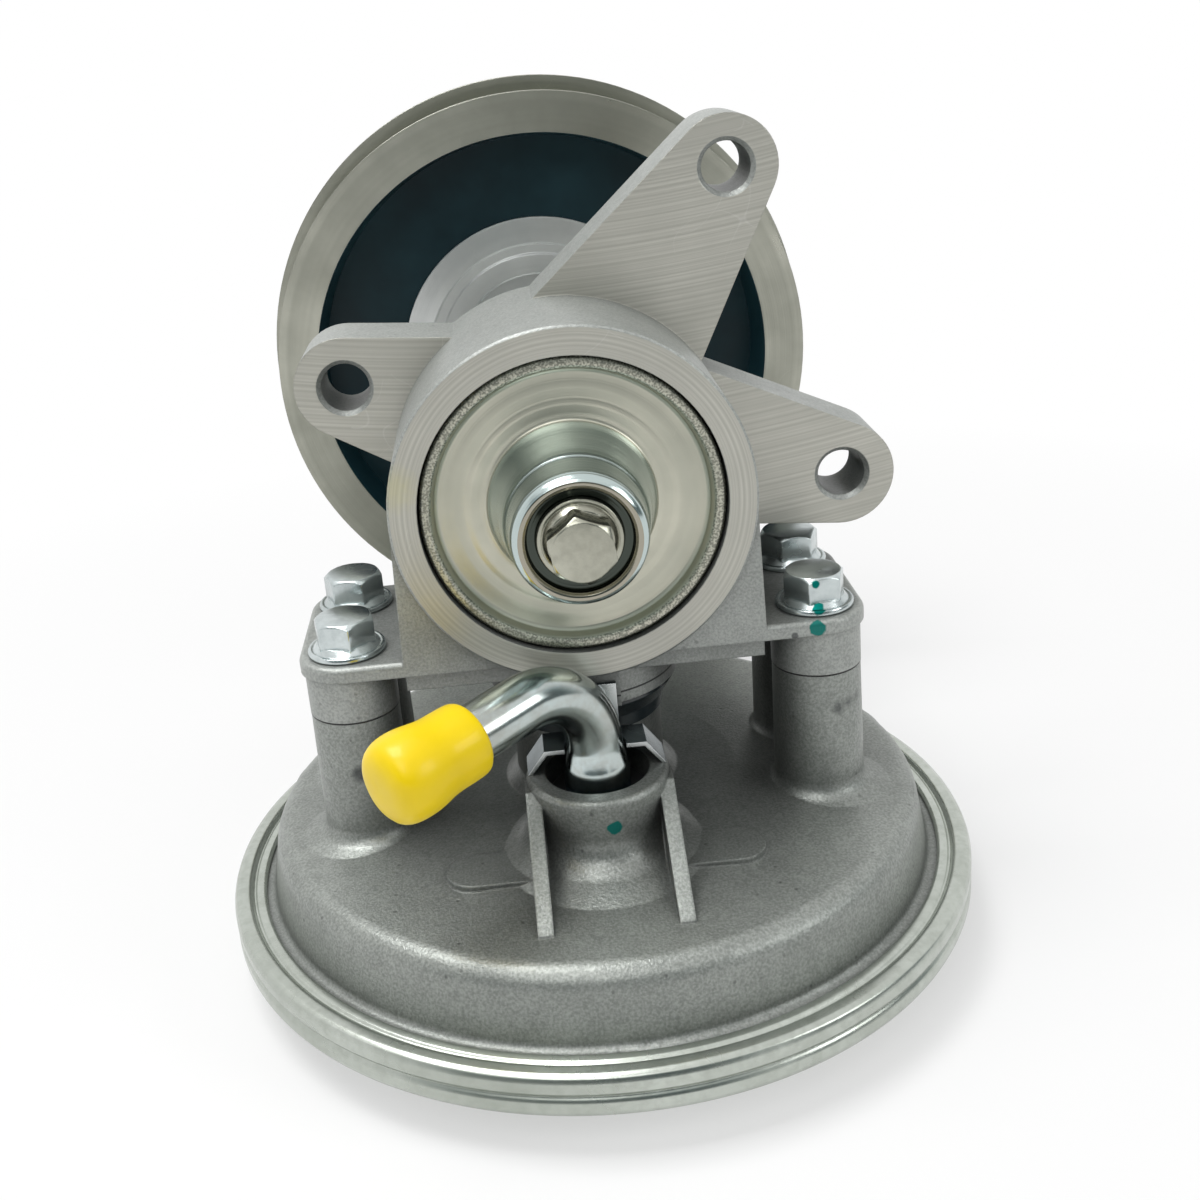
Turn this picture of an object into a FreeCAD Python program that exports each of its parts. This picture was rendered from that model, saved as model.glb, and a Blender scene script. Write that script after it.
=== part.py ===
"""Belt-driven engine vacuum pump.

A cast dome cover on a sheet-steel pan holds the diaphragm, and four posts carry the drive housing with
its three bolting ears. The shaft runs front to back through the housing, with a dished disc in front,
an eccentric over the middle of the dome and the belt pulley behind.

Frame: +Z up, -Y to the front, origin at the middle of the pan's bottom face.
"""
import FreeCAD, Part
import math
import os
import re
import Sketcher

V = FreeCAD.Vector

# Driving sizes in millimetres and degrees. Each one can be changed by itself.
SIZES = {
    # shaft line, from the shaft outwards
    "shaft_radius": 7.5,
    "throw": 2.5,
    "eccentric_wall": 1.0,
    "bushing_wall": 2.6,
    "rod_ring_wall": 4.4,
    "rod_clearance": 0.5,
    "rod_width": 10.0,
    "rod_side_gap": 1.2,
    "shaft_thread_depth": 22.0,
    "shaft_collar": 1.5,
    "shaft_chamfer": 0.8,
    "running_gap": 0.06,
    "seat_gap": 0.05,
    # bearings, seal and snap ring
    "bearing_width": 9.0,
    "front_ring_wall": 3.5,
    "front_ball_space": 6.5,
    "rear_ring_wall": 2.45,
    "rear_ball_space": 3.6,
    "race_depth": 0.25,
    "ball_gap": 0.15,
    "front_ball_count": 8,
    "rear_ball_count": 10,
    "snap_ring_thickness": 1.2,
    "snap_ring_depth": 1.0,
    "snap_ring_reach": 2.2,
    "snap_ring_gap": 5.0,
    "seal_thickness": 5.0,
    "seal_setback": 2.3,
    "seal_sink": 0.5,
    "spacer_wall": 2.9,
    # drive housing
    "mouth_step": 11.4,
    "barrel_wall": 6.2,
    "barrel_edge": 0.5,
    "barrel_lift": 2.2,
    "bearing_sink": 0.2,
    "ear_setback": 32.3,
    "ear_thickness": 16.5,
    "ear_hole_radius": 5.4,
    "ear_chamfer": 1.0,
    "top_ear_reach": 35.88,
    "top_ear_turn": 57.33,
    "top_ear_radius": 11.3,
    "left_ear_reach": 13.6,
    "left_ear_turn": 154.47,
    "left_ear_radius": 11.4,
    "right_ear_reach": 25.62,
    "right_ear_turn": -7.97,
    "right_ear_radius": 12.0,
    "top_root_turn": 110.9,
    "top_root_sink": 5.1,
    "top_side_turn": 22.9,
    "top_side_sink": 7.8,
    "left_root_turn": 111.3,
    "left_root_sink": 5.7,
    "left_side_turn": 188.7,
    "left_side_sink": 13.2,
    "right_root_turn": 51.3,
    "right_root_sink": 6.5,
    "right_side_turn": -34.7,
    "right_side_sink": 8.1,
    "nose_wall": 5.8,
    "nose_waist_rise": 5.2,
    "nose_root_rise": 4.0,
    "nose_root_length": 22.6,
    "nose_length": 34.0,
    "collar_gap": 3.0,
    "block_overhang": 1.0,
    "block_draft": 0.9,
    "block_setback": 4.1,
    "under_block": 5.0,
    "neck_wall": 10.0,
    "post_rise": 2.5,
    "rod_passage_radius": 12.0,
    # lugs, posts and their bolts
    "post_y": 13.3,
    "lug_gap": 1.9,
    "lug_margin": 2.1,
    "lug_height": 13.5,
    "lug_plate": 3.3,
    "lug_edge": 1.2,
    "lug_boss_step": 0.8,
    "post_step": 0.9,
    "post_draft": 0.3,
    "post_foot_fillet": 3.6,
    "post_floor": 7.0,
    "skirt_angle": 20.0,
    "skirt_sink": 1.5,
    "bolt_radius": 4.0,
    "bolt_hole_gap": 0.25,
    "bolt_thread_gap": 0.05,
    "bolt_end_gap": 2.0,
    "bolt_point": 0.7,
    "bolt_head_flats": 12.4,
    "bolt_head_height": 8.1,
    "bolt_head_chamfer": 1.1,
    "bolt_flange_margin": 1.54,
    "bolt_flange_edge": 1.1,
    "bolt_flange_height": 2.6,
    # dome cover
    "chamber_height": 14.3,
    "dome_roof": 4.0,
    "dome_crown": 3.2,
    "dome_top_radius": 34.0,
    "post_inset": 23.3,
    "dome_draft": 2.6,
    "dome_wall": 4.2,
    "dome_shoulder_fillet": 5.0,
    "dome_foot_fillet": 1.6,
    "dome_flange_thickness": 2.8,
    "boss_height": 17.8,
    "boss_shoulder": 1.5,
    "boss_flare": 3.0,
    "spigot_wall": 4.0,
    "spigot_height": 3.2,
    "pad_radius": 6.3,
    "pad_half_length": 28.2,
    "pad_ahead": 8.5,
    "pad_drop": 0.3,
    "bite": 1.0,
    # port cup, vent and valves
    "port_ahead": 4.1,
    "port_throat": 4.0,
    "port_mouth_depth": 13.0,
    "port_rim_wall": 4.2,
    "port_rim_round": 1.2,
    "port_draft": 0.8,
    "port_foot_fillet": 7.0,
    "port_foot_rise": 8.8,
    "port_seal_wall": 4.25,
    "port_seal_height": 8.2,
    "port_seal_chamfer": 1.2,
    "port_seat_width": 3.4,
    "valve_pocket_depth": 3.0,
    "valve_pocket_wall": 1.0,
    "valve_floor_thickness": 4.0,
    "valve_hole_radius": 1.6,
    "valve_hole_offset": 3.2,
    "valve_stem_radius": 2.0,
    "valve_stem_gap": 0.05,
    "valve_disc_thickness": 1.2,
    "valve_disc_gap": 0.8,
    "rib_inset": 1.3,
    "rib_thickness": 3.3,
    "rib_reach": 32.1,
    "rib_shoulder": 5.5,
    "rib_drop": 1.5,
    "rib_toe_height": 1.2,
    "vent_wall": 2.5,
    "vent_height": 7.0,
    # crimp ring, pan and diaphragm
    "rim_lip_gap": 2.1,
    "rim_width": 7.7,
    "rim_sheet": 1.6,
    "rim_underleg": 5.0,
    "rim_bead": 0.7,
    "rim_step": 4.0,
    "pan_margin": 13.0,
    "pan_draft": 9.0,
    "pan_flange": 11.1,
    "pan_sheet": 1.6,
    "pan_bead_radius": 30.0,
    "pan_bead_half_width": 4.0,
    "pan_bead_rise": 1.2,
    "flange_gap": 0.15,
    "diaphragm_thickness": 2.0,
    "clamp_width": 17.0,
    "roll_width": 25.5,
    "roll_rise": 4.2,
    "plate_gap": 2.0,
    "plate_sheet": 1.7,
    "plate_curl": 2.6,
    "nut_flats": 13.0,
    "nut_height": 4.0,
    # connecting rod and boot
    "rod_taper": 0.3,
    "rod_neck_length": 12.0,
    "rod_passage_gap": 1.5,
    "rod_foot_height": 4.0,
    "rod_edge": 0.6,
    "boot_height": 8.5,
    "boot_wall": 2.2,
    "boot_tuck": 0.6,
    # front disc
    "disc_back_gap": 0.4,
    "disc_thickness": 10.6,
    "disc_sink": 1.0,
    "disc_gap": 0.4,
    "disc_band": 2.2,
    "disc_band_step": 0.8,
    "disc_dish_depth": 3.6,
    "disc_floor_depth": 6.0,
    "disc_floor_width": 4.5,
    "disc_edge": 0.5,
    "hub_base_drop": 0.4,
    "hub_base_rise": 2.6,
    "hub_waist_rise": 1.8,
    "hub_waist_height": 8.6,
    "hub_waist_length": 5.0,
    "hub_nose_height": 12.5,
    "hub_nose_slope": 2.5,
    "hub_nose_wall": 2.8,
    "hub_nose_round": 1.9,
    "hub_mouth_gap": 1.9,
    "hub_seat_depth": 2.3,
    "hub_seat_wall": 7.6,
    # pulley
    "boss_gap": 5.0,
    "pulley_gap": 12.2,
    "hub_setback": 12.8,
    "web_setback": 2.0,
    "web_thickness": 5.0,
    "pulley_hub_thickness": 8.0,
    "pulley_boss_wall": 7.5,
    "hub_inner_land": 9.0,
    "hub_ring_width": 9.0,
    "hub_outer_land": 8.0,
    "hub_ring_step": 1.2,
    "hub_ring_slope": 0.6,
    "hub_ring_band": 3.0,
    "recess_width": 25.0,
    "recess_draft": 1.5,
    "rim_depth": 10.0,
    "front_flange_rise": 1.6,
    "rear_flange_rise": 5.0,
    "pulley_flange": 2.6,
    "belt_margin": 1.0,
    "groove_count": 5,
    "groove_pitch": 3.56,
    "groove_depth": 2.6,
    "groove_land": 0.57,
    "groove_root": 0.5,
    "puller_groove_setback": 3.5,
    "puller_groove_width": 3.0,
    "puller_groove_depth": 2.5,
    "puller_lip": 3.5,
    "shaft_rear_sink": 3.0,
    "boss_chamfer": 1.0,
    # elbow, cap and retainer
    "pipe_radius": 6.1,
    "pipe_wall": 1.2,
    "pipe_collar_wall": 1.05,
    "pipe_bottom_gap": 1.0,
    "pipe_collar_setback": 1.5,
    "pipe_collar_rise": 2.0,
    "pipe_bend_rise": 5.2,
    "pipe_bend_radius": 17.6,
    "pipe_bend_angle": 96.0,
    "pipe_run": 28.0,
    "pipe_heading": -50.5,
    "cap_grip": 15.7,
    "cap_air": 8.0,
    "cap_mouth_wall": 2.0,
    "cap_waist_wall": 1.8,
    "cap_waist_at": 8.7,
    "cap_bulb_wall": 2.9,
    "cap_end_round": 6.0,
    "cap_end_wall": 2.0,
    "clip_sheet": 1.0,
    "clip_rise": 4.4,
    "clip_ahead": 1.0,
    "clip_behind": 7.5,
    "clip_inset": 0.5,
    "clip_slope": 4.5,
    "clip_gap": 0.6,
    "tongue_half_width": 6.0,
    "tongue_margin": 1.0,
    "tongue_stand": 0.6,
    "tongue_rise": 3.0,
    "screw_radius": 2.0,
    "screw_head_radius": 3.6,
    "screw_head_height": 1.1,
    "screw_rise": 3.1,
    "screw_length": 7.0,
}

# Sizes and places that follow from the driving ones, each from those above it.
FITS = {
    "eccentric_radius": "shaft_radius + throw + eccentric_wall",
    "rod_bore_radius": "eccentric_radius + bushing_wall",
    "rod_ring_radius": "rod_bore_radius + rod_ring_wall",
    "housing_bore_radius": "rod_ring_radius + throw + rod_clearance",
    "front_outer_ring_radius": "housing_bore_radius - front_ring_wall",
    "front_inner_ring_radius": "front_outer_ring_radius - front_ball_space",
    "front_ball_radius": "front_ball_space / 2 + race_depth",
    "rear_inner_ring_radius": "shaft_radius + rear_ring_wall",
    "rear_outer_ring_radius": "rear_inner_ring_radius + rear_ball_space",
    "rear_bearing_radius": "rear_outer_ring_radius + rear_ring_wall",
    "rear_ball_radius": "rear_ball_space / 2 + race_depth",
    "shaft_collar_radius": "shaft_radius + shaft_collar",
    "sleeve_radius": "shaft_radius + spacer_wall",
    "snap_ring_inner_radius": "rear_bearing_radius - snap_ring_reach",
    # housing, across
    "nose_bore_radius": "shaft_collar_radius + collar_gap",
    "nose_end_radius": "rear_bearing_radius + nose_wall",
    "nose_waist_radius": "nose_end_radius + nose_waist_rise",
    "nose_root_radius": "nose_waist_radius + nose_root_rise",
    "barrel_mouth_radius": "housing_bore_radius + mouth_step",
    "barrel_radius": "barrel_mouth_radius + barrel_wall",
    "bolt_flange_radius": "bolt_head_flats / 2 / cos(30) + bolt_flange_margin",
    "lug_radius": "bolt_flange_radius + lug_margin",
    "lug_boss_radius": "lug_radius - lug_boss_step",
    "post_radius": "lug_radius - post_step",
    "block_half_width": "barrel_radius + block_overhang",
    "post_x": "block_half_width + lug_gap + lug_radius",
    "block_half_depth": "post_y + lug_radius",
    # front to back
    "front_bearing_front": "-rod_width / 2 - rod_side_gap - bearing_width",
    "barrel_seat": "front_bearing_front - bearing_sink",
    "disc_back": "barrel_seat - disc_back_gap",
    "disc_face": "disc_back - disc_thickness",
    "barrel_front": "disc_face - disc_sink",
    "hub_waist_end": "disc_face - hub_waist_height",
    "hub_nose_end": "hub_waist_end - hub_nose_height",
    "hub_seat": "hub_nose_end + hub_seat_depth",
    "shaft_front": "hub_seat + hub_seat_wall",
    "shaft_collar_front": "rod_width / 2 + bite",
    "ear_front": "barrel_front + ear_setback",
    "ear_back": "ear_front + ear_thickness",
    "nose_waist_at": "ear_back + nose_root_length",
    "rear_bearing_front": "nose_waist_at + nose_length",
    "snap_ring_front": "rear_bearing_front + bearing_width",
    "seal_front": "snap_ring_front + snap_ring_thickness + seal_setback",
    "nose_end": "seal_front + seal_thickness + seal_sink",
    "boss_front": "nose_end + boss_gap",
    "pulley_front": "nose_end + pulley_gap",
    "pulley_width": "2 * (pulley_flange + belt_margin) + groove_pitch * groove_count",
    "pulley_rear": "pulley_front + pulley_width",
    "pulley_hub_front": "pulley_front + hub_setback",
    "pulley_hub_back": "pulley_hub_front + pulley_hub_thickness",
    "web_front": "pulley_hub_front + web_setback",
    "web_back": "web_front + web_thickness",
    "puller_groove_at": "pulley_hub_back + puller_groove_setback",
    "boss_rear": "puller_groove_at + puller_groove_width + puller_lip",
    "shaft_rear": "boss_rear - shaft_rear_sink",
    # pulley, across
    "boss_radius": "shaft_radius + pulley_boss_wall",
    "hub_ring_inner": "boss_radius + hub_inner_land",
    "hub_ring_outer": "hub_ring_inner + hub_ring_width",
    "pulley_hub_radius": "hub_ring_outer + hub_outer_land",
    "recess_radius": "pulley_hub_radius + recess_width",
    "belt_land_radius": "recess_radius + rim_depth",
    "front_flange_radius": "belt_land_radius + front_flange_rise",
    "rear_flange_radius": "belt_land_radius + rear_flange_rise",
    # front disc, across
    "hub_mouth_radius": "bolt_flange_radius + hub_mouth_gap",
    "hub_nose_radius": "hub_mouth_radius + hub_nose_wall",
    "hub_waist_radius": "hub_nose_radius + hub_waist_rise",
    "hub_base_radius": "hub_waist_radius + hub_base_rise",
    "disc_dish_radius": "hub_base_radius + disc_floor_width",
    "disc_radius": "barrel_mouth_radius - disc_gap",
    "disc_band_radius": "disc_radius - disc_band",
    # from the pan up to the shaft
    "clamp_bottom": "pan_flange + pan_sheet",
    "clamp_top": "clamp_bottom + diaphragm_thickness",
    "roof": "clamp_top + dome_flange_thickness",
    "chamber_ceiling": "clamp_top + chamber_height",
    "dome_shoulder": "chamber_ceiling + dome_roof",
    "dome_top": "dome_shoulder + dome_crown",
    "dome_boss_top": "dome_top + boss_height",
    "neck_bottom": "dome_boss_top + boot_height",
    "post_top": "neck_bottom + post_rise",
    "block_bottom": "post_top + under_block",
    "lug_top": "post_top + lug_height",
    "plate_bottom": "lug_top - lug_plate",
    "shaft_height": "block_bottom + barrel_radius + barrel_lift",
    "housing_bolt_reach": "chamber_ceiling + post_floor + bolt_end_gap",
    # dome, rim and pan, across
    "dome_shoulder_radius": "post_x + post_inset",
    "dome_foot_radius": "dome_shoulder_radius + dome_draft",
    "rim_lip_radius": "dome_foot_radius + rim_lip_gap",
    "rim_outer_radius": "rim_lip_radius + rim_width",
    "rim_inside_radius": "rim_outer_radius - rim_sheet",
    "flange_radius": "rim_inside_radius - flange_gap",
    "pan_wall_radius": "rim_outer_radius - pan_margin",
    "pan_floor_radius": "pan_wall_radius - pan_draft",
    "roll_outer_radius": "rim_outer_radius - clamp_width",
    "roll_inner_radius": "roll_outer_radius - roll_width",
    "plate_radius": "roll_inner_radius - plate_gap",
    "rod_neck_radius": "rod_width / 2 - rod_edge",
    "rod_shank_radius": "rod_neck_radius - rod_taper",
    "rod_foot_radius": "rod_passage_radius - rod_passage_gap",
    "spigot_radius": "rod_passage_radius + spigot_wall",
    "dome_boss_radius": "spigot_radius + boss_shoulder",
    "neck_radius": "rod_passage_radius + neck_wall",
    "boot_top_radius": "neck_radius - boot_tuck",
    # port, pipe and retainer
    "port_y": "barrel_front - port_ahead",
    "valve_floor": "chamber_ceiling + valve_pocket_depth + valve_floor_thickness",
    "port_seat": "valve_floor + port_throat",
    "port_rim": "port_seat + port_mouth_depth",
    "pipe_collar_radius": "pipe_radius + pipe_collar_wall",
    "port_mouth_radius": "pipe_collar_radius + port_seal_wall",
    "port_rim_radius": "port_mouth_radius + port_rim_wall",
    "port_bore_radius": "port_mouth_radius - port_seat_width",
    "valve_pocket_radius": "port_bore_radius + valve_pocket_wall",
    "valve_hole_circle": "valve_stem_radius + valve_hole_offset",
    "rib_x": "port_rim_radius - rib_inset",
    "vent_radius": "port_bore_radius + vent_wall",
    "vent_top": "valve_floor + vent_height",
    "pad_y": "port_y - pad_ahead",
    "pad_top": "dome_top - pad_drop",
    "pipe_bottom": "port_seat + pipe_bottom_gap",
    "pipe_collar_bottom": "pipe_bottom + pipe_collar_setback",
    "pipe_collar_top": "port_rim + pipe_collar_rise",
    "pipe_bend_start": "port_rim + pipe_bend_rise",
    "cap_start": "pipe_run - cap_grip",
    "cap_length": "cap_grip + cap_air",
    "clip_level": "port_rim + clip_rise",
    "clip_top": "clip_level + clip_sheet",
    "clip_front": "port_y - clip_ahead",
    "clip_rear": "port_y + clip_behind",
    "clip_half_width": "port_rim_radius - clip_inset",
    "clip_flat_half_width": "clip_half_width - clip_slope",
    "tongue_back": "-neck_radius - tongue_stand",
    "tongue_front": "tongue_back - clip_sheet",
    "screw_level": "neck_bottom + screw_rise",
    "tongue_top": "screw_level + tongue_rise",
}

doc = FreeCAD.newDocument("VacuumPump")
sheet = doc.addObject("Spreadsheet::Sheet", "Sizes")
for row, (alias, size) in enumerate(list(SIZES.items()) + list(FITS.items()), 1):
    sheet.set("A%d" % row, alias)
    sheet.set("B%d" % row, "=" + size if alias in FITS else str(size))
    sheet.setAlias("B%d" % row, alias)
    doc.recompute()


def formula(text):
    """Return the expression text with each size's name led by the sheet's name."""
    def led(match):
        name = match.group()
        return "Sizes." + name if name in SIZES or name in FITS else name
    return re.sub(r"[a-z_][a-z_0-9]*", led, text)


def number(text):
    """Return the value of an expression of named sizes."""
    return float(sheet.evalExpression(formula(text)))


def bind(item, prop, text):
    """Bind one property of a document object to an expression of named sizes."""
    item.setExpression(prop, formula(text))


def place(item, x="0", y="0", z="0"):
    """Bind an object's position to three expressions."""
    bind(item, "Placement.Base.x", x)
    bind(item, "Placement.Base.y", y)
    bind(item, "Placement.Base.z", z)


def new_body(label, x="0", y="0", z="0"):
    """Add a body with its own label and placement."""
    body = doc.addObject("PartDesign::Body", label)
    body.Label = label
    place(body, x, y, z)
    return body


class Outline:
    """A sketch on one of its body's origin planes, with every point held by named sizes."""

    def __init__(self, body, name, plane, across="0", along="0", lift="0"):
        self.body = body
        self.sketch = body.newObject("Sketcher::SketchObject", body.Name + "_" + name)
        origin = [item for item in body.Origin.OriginFeatures if item.Role == plane][0]
        self.sketch.AttachmentSupport = [(origin, "")]
        self.sketch.MapMode = "FlatFace"
        bind(self.sketch, "AttachmentOffset.Base.x", across)
        bind(self.sketch, "AttachmentOffset.Base.y", along)
        bind(self.sketch, "AttachmentOffset.Base.z", lift)

    def _hold(self, kind, first, point, text):
        index = self.sketch.addConstraint(Sketcher.Constraint(kind, -1, 1, first, point, number(text)))
        self.sketch.setExpression("Constraints[%d]" % index, formula(text))

    def hold(self, edge, point, x, y):
        """Hold one end or centre of an edge at x and y."""
        self._hold("DistanceX", edge, point, x)
        self._hold("DistanceY", edge, point, y)

    def join(self, first, first_end, second, second_end):
        """Make one end of an edge meet one end of another."""
        self.sketch.addConstraint(Sketcher.Constraint("Coincident", first, first_end, second, second_end))

    def line(self, start, end):
        """Draw a straight edge between two points and return it."""
        points = [V(number(x), number(y), 0) for x, y in (start, end)]
        return self.sketch.addGeometry(Part.LineSegment(points[0], points[1]), False)

    def polygon(self, *corners):
        """Draw a closed outline of straight edges through the given corners."""
        edges = [self.line(corners[i], corners[(i + 1) % len(corners)]) for i in range(len(corners))]
        for i, edge in enumerate(edges):
            self.join(edge, 2, edges[(i + 1) % len(edges)], 1)
            self.hold(edge, 1, *corners[i])
        return self

    def circle(self, x, y, radius):
        """Draw a circle of a held centre and radius."""
        ring = Part.Circle(V(number(x), number(y), 0), V(0, 0, 1), number(radius))
        edge = self.sketch.addGeometry(ring, False)
        self.hold(edge, 3, x, y)
        index = self.sketch.addConstraint(Sketcher.Constraint("Radius", edge, number(radius)))
        self.sketch.setExpression("Constraints[%d]" % index, formula(radius))
        return self

    def raced_ring(self, front, back, plain, raced, centre, middle, race):
        """Draw a bearing ring's section, with the ball race as an arc in its raced side."""
        depth = math.asin(abs(number(raced) - number(middle)) / number(race))
        outer = number(raced) > number(middle)
        start, end = (depth, math.pi - depth) if outer else (math.pi + depth, 2 * math.pi - depth)
        arc = self.arc(centre, middle, race, start, end)
        reach = "%s * cos(%.6f)" % (race, math.degrees(depth))
        near, far = centre + " - " + reach, centre + " + " + reach
        base = self.line((front, plain), (back, plain))
        rear = self.line((back, plain), (back, raced))
        right = self.line((back, raced), (far, raced))
        left = self.line((near, raced), (front, raced))
        fore = self.line((front, raced), (front, plain))
        for edge, x, y in ((base, front, plain), (rear, back, plain), (right, back, raced), (fore, front, raced)):
            self.hold(edge, 1, x, y)
        self._hold("DistanceY", right, 2, raced)
        self._hold("DistanceY", left, 1, raced)
        self.join(base, 2, rear, 1)
        self.join(rear, 2, right, 1)
        self.join(right, 2, arc, 1 if outer else 2)
        self.join(arc, 2 if outer else 1, left, 1)
        self.join(left, 2, fore, 1)
        self.join(fore, 2, base, 1)
        return self

    def arc(self, x, y, radius, start, end, held=True):
        """Draw an arc of a held radius, from one angle to the other, and return its edge."""
        circle = Part.Circle(V(number(x), number(y), 0), V(0, 0, 1), number(radius))
        edge = self.sketch.addGeometry(Part.ArcOfCircle(circle, start, end), False)
        if held:
            self.hold(edge, 3, x, y)
        index = self.sketch.addConstraint(Sketcher.Constraint("Radius", edge, number(radius)))
        self.sketch.setExpression("Constraints[%d]" % index, formula(radius))
        return edge

    def column(self, top_radius, top, foot_radius, fillet, level, bottom):
        """Draw half a round column whose wall runs through a fillet into a shallow skirt.

        The skirt leaves the fillet at the skirt's angle and ends under the casting's surface.
        """
        turned = "(90 - skirt_angle)"
        centre_x = "(%s) + (%s)" % (foot_radius, fillet)
        centre_y = "(%s) + (%s)" % (level, fillet)
        reach_x = "%s - (%s) * sin(skirt_angle)" % (centre_x.replace(" + (", " + (", 1), fillet)
        reach_y = "%s - (%s) * cos(skirt_angle)" % (centre_y, fillet)
        fall = "(%s - (%s))" % (reach_y, bottom)
        end_x = "%s + %s / tan(skirt_angle)" % (reach_x, fall)
        sweep = math.radians(number(turned))
        roof = self.line(("0", top), (top_radius, top))
        wall = self.line((top_radius, top), (foot_radius, centre_y))
        fillet_arc = self.arc(centre_x, centre_y, fillet, math.pi, math.pi + sweep, held=False)
        skirt = self.line((reach_x, reach_y), (end_x, bottom))
        base = self.line((end_x, bottom), ("0", bottom))
        axis = self.line(("0", bottom), ("0", top))
        for edge, x, y in ((roof, "0", top), (wall, top_radius, top), (base, end_x, bottom), (axis, "0", bottom)):
            self.hold(edge, 1, x, y)
        self.sketch.addConstraint(Sketcher.Constraint("Tangent", wall, 2, fillet_arc, 1))
        self.sketch.addConstraint(Sketcher.Constraint("Tangent", fillet_arc, 2, skirt, 1))
        self._hold("DistanceX", fillet_arc, 3, centre_x)
        self._hold("DistanceY", fillet_arc, 3, centre_y)
        self.join(roof, 2, wall, 1)
        self.join(skirt, 2, base, 1)
        self.join(base, 2, axis, 1)
        self.join(axis, 2, roof, 1)
        return self

    def ear(self, x, y, radius, first, second):
        """Draw a rounded tip whose two sides run tangent from it to two root points."""
        centre = V(number(x), number(y), 0)
        roots = [V(number(a), number(b), 0) for a, b in (first, second)]
        touch = [tangent_point(centre, number(radius), roots[i], roots[1 - i]) for i in (0, 1)]
        angles = [math.atan2((t - centre).y, (t - centre).x) for t in touch]
        outward = centre - (roots[0] + roots[1]) * 0.5
        bearing = math.atan2(outward.y, outward.x)
        turns = (bearing - angles[0]) % (2 * math.pi) < (angles[1] - angles[0]) % (2 * math.pi)
        order = (0, 1) if turns else (1, 0)
        start, end = angles[order[0]], angles[order[1]]
        tip = self.arc(x, y, radius, start, end if end > start else end + 2 * math.pi)
        sides = [self.sketch.addGeometry(Part.LineSegment(roots[i], touch[i]), False) for i in (0, 1)]
        base = self.sketch.addGeometry(Part.LineSegment(roots[0], roots[1]), False)
        for i, root in enumerate((first, second)):
            self.hold(sides[i], 1, *root)
            self.join(base, i + 1, sides[i], 1)
            tip_end = 1 if order[0] == i else 2
            self.sketch.addConstraint(Sketcher.Constraint("Tangent", sides[i], 2, tip, tip_end))
        return self


def tangent_point(centre, radius, root, other):
    """Return the point where a line from root touches the circle, on the side away from other."""
    away = root - centre
    distance = away.Length
    half = math.acos(radius / distance)
    base = math.atan2(away.y, away.x)
    points = [centre + V(math.cos(base + turn), math.sin(base + turn), 0) * radius for turn in (half, -half)]
    direction = (centre - root)
    side = direction.x * (other - root).y - direction.y * (other - root).x
    for point in points:
        offset = direction.x * (point - root).y - direction.y * (point - root).x
        if offset * side < 0:
            return point
    return points[0]


def pad(outline, length, name="Pad", backwards=False, both_ways=False):
    feature = outline.body.newObject("PartDesign::Pad", outline.body.Name + "_" + name)
    feature.Profile = outline.sketch
    bind(feature, "Length", length)
    feature.Reversed = backwards
    if both_ways:
        feature.SideType = "Symmetric"
    outline.sketch.Visibility = False
    return feature


def cut(outline, length, name="Pocket", backwards=False):
    """Pocket the outline and make sure that it takes something away."""
    doc.recompute()
    before = outline.body.Shape.Volume
    feature = outline.body.newObject("PartDesign::Pocket", outline.body.Name + "_" + name)
    feature.Profile = outline.sketch
    bind(feature, "Length", length)
    feature.Reversed = backwards
    doc.recompute()
    if not outline.body.Shape.Volume < before - 0.001:
        raise RuntimeError("pocket takes nothing: " + feature.Name)
    return feature


def turn(outline, axis="H_Axis", name="Revolution"):
    feature = outline.body.newObject("PartDesign::Revolution", outline.body.Name + "_" + name)
    feature.Profile = outline.sketch
    feature.ReferenceAxis = (outline.sketch, [axis])
    feature.Angle = 360
    return feature


def turned_cut(outline, axis="H_Axis", name="Groove"):
    """Cut the outline all round and make sure that it takes something away."""
    doc.recompute()
    before = outline.body.Shape.Volume
    feature = outline.body.newObject("PartDesign::Groove", outline.body.Name + "_" + name)
    feature.Profile = outline.sketch
    feature.ReferenceAxis = (outline.sketch, [axis])
    feature.Angle = 360
    doc.recompute()
    if not outline.body.Shape.Volume < before - 0.001:
        raise RuntimeError("groove takes nothing: " + feature.Name)
    return feature


def local_shape(body):
    """Return the body's last shape in the body's own frame."""
    doc.recompute()
    return body.Tip.Shape


def edges_where(body, test):
    """Return the names of the tip's edges that pass a test."""
    return ["Edge%d" % (i + 1) for i, edge in enumerate(local_shape(body).Edges) if test(edge)]


def is_circle(edge, radius, axis, at):
    """Tell whether an edge is a circle of a radius whose centre stands at a place along an axis."""
    if not isinstance(edge.Curve, Part.Circle) or abs(edge.Curve.Radius - radius) > 0.01:
        return False
    return abs(getattr(edge.Curve.Center, axis) - at) < 0.01


def finish_edges(body, kind, size, test, name):
    """Round or chamfer the edges that pass a test."""
    names = edges_where(body, test)
    if not names:
        raise RuntimeError("no edge found for " + name)
    feature = body.newObject("PartDesign::" + kind, body.Name + "_" + name)
    feature.Base = (body.Tip if body.Tip != feature else feature.BaseFeature, names)
    bind(feature, "Radius" if kind == "Fillet" else "Size", size)
    return feature


def round_ring(body, size, radius, axis, at, name):
    """Round the circular edge of the given radius at the given place."""
    r, level = number(radius), number(at)
    return finish_edges(body, "Fillet", size, lambda edge: is_circle(edge, r, axis, level), name)


def chamfer_ring(body, size, radius, axis, at, name):
    """Chamfer the circular edge of the given radius at the given place."""
    r, level = number(radius), number(at)
    return finish_edges(body, "Chamfer", size, lambda edge: is_circle(edge, r, axis, level), name)


CORNERS = (("-", "-"), ("", "-"), ("-", ""), ("", ""))


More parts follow.
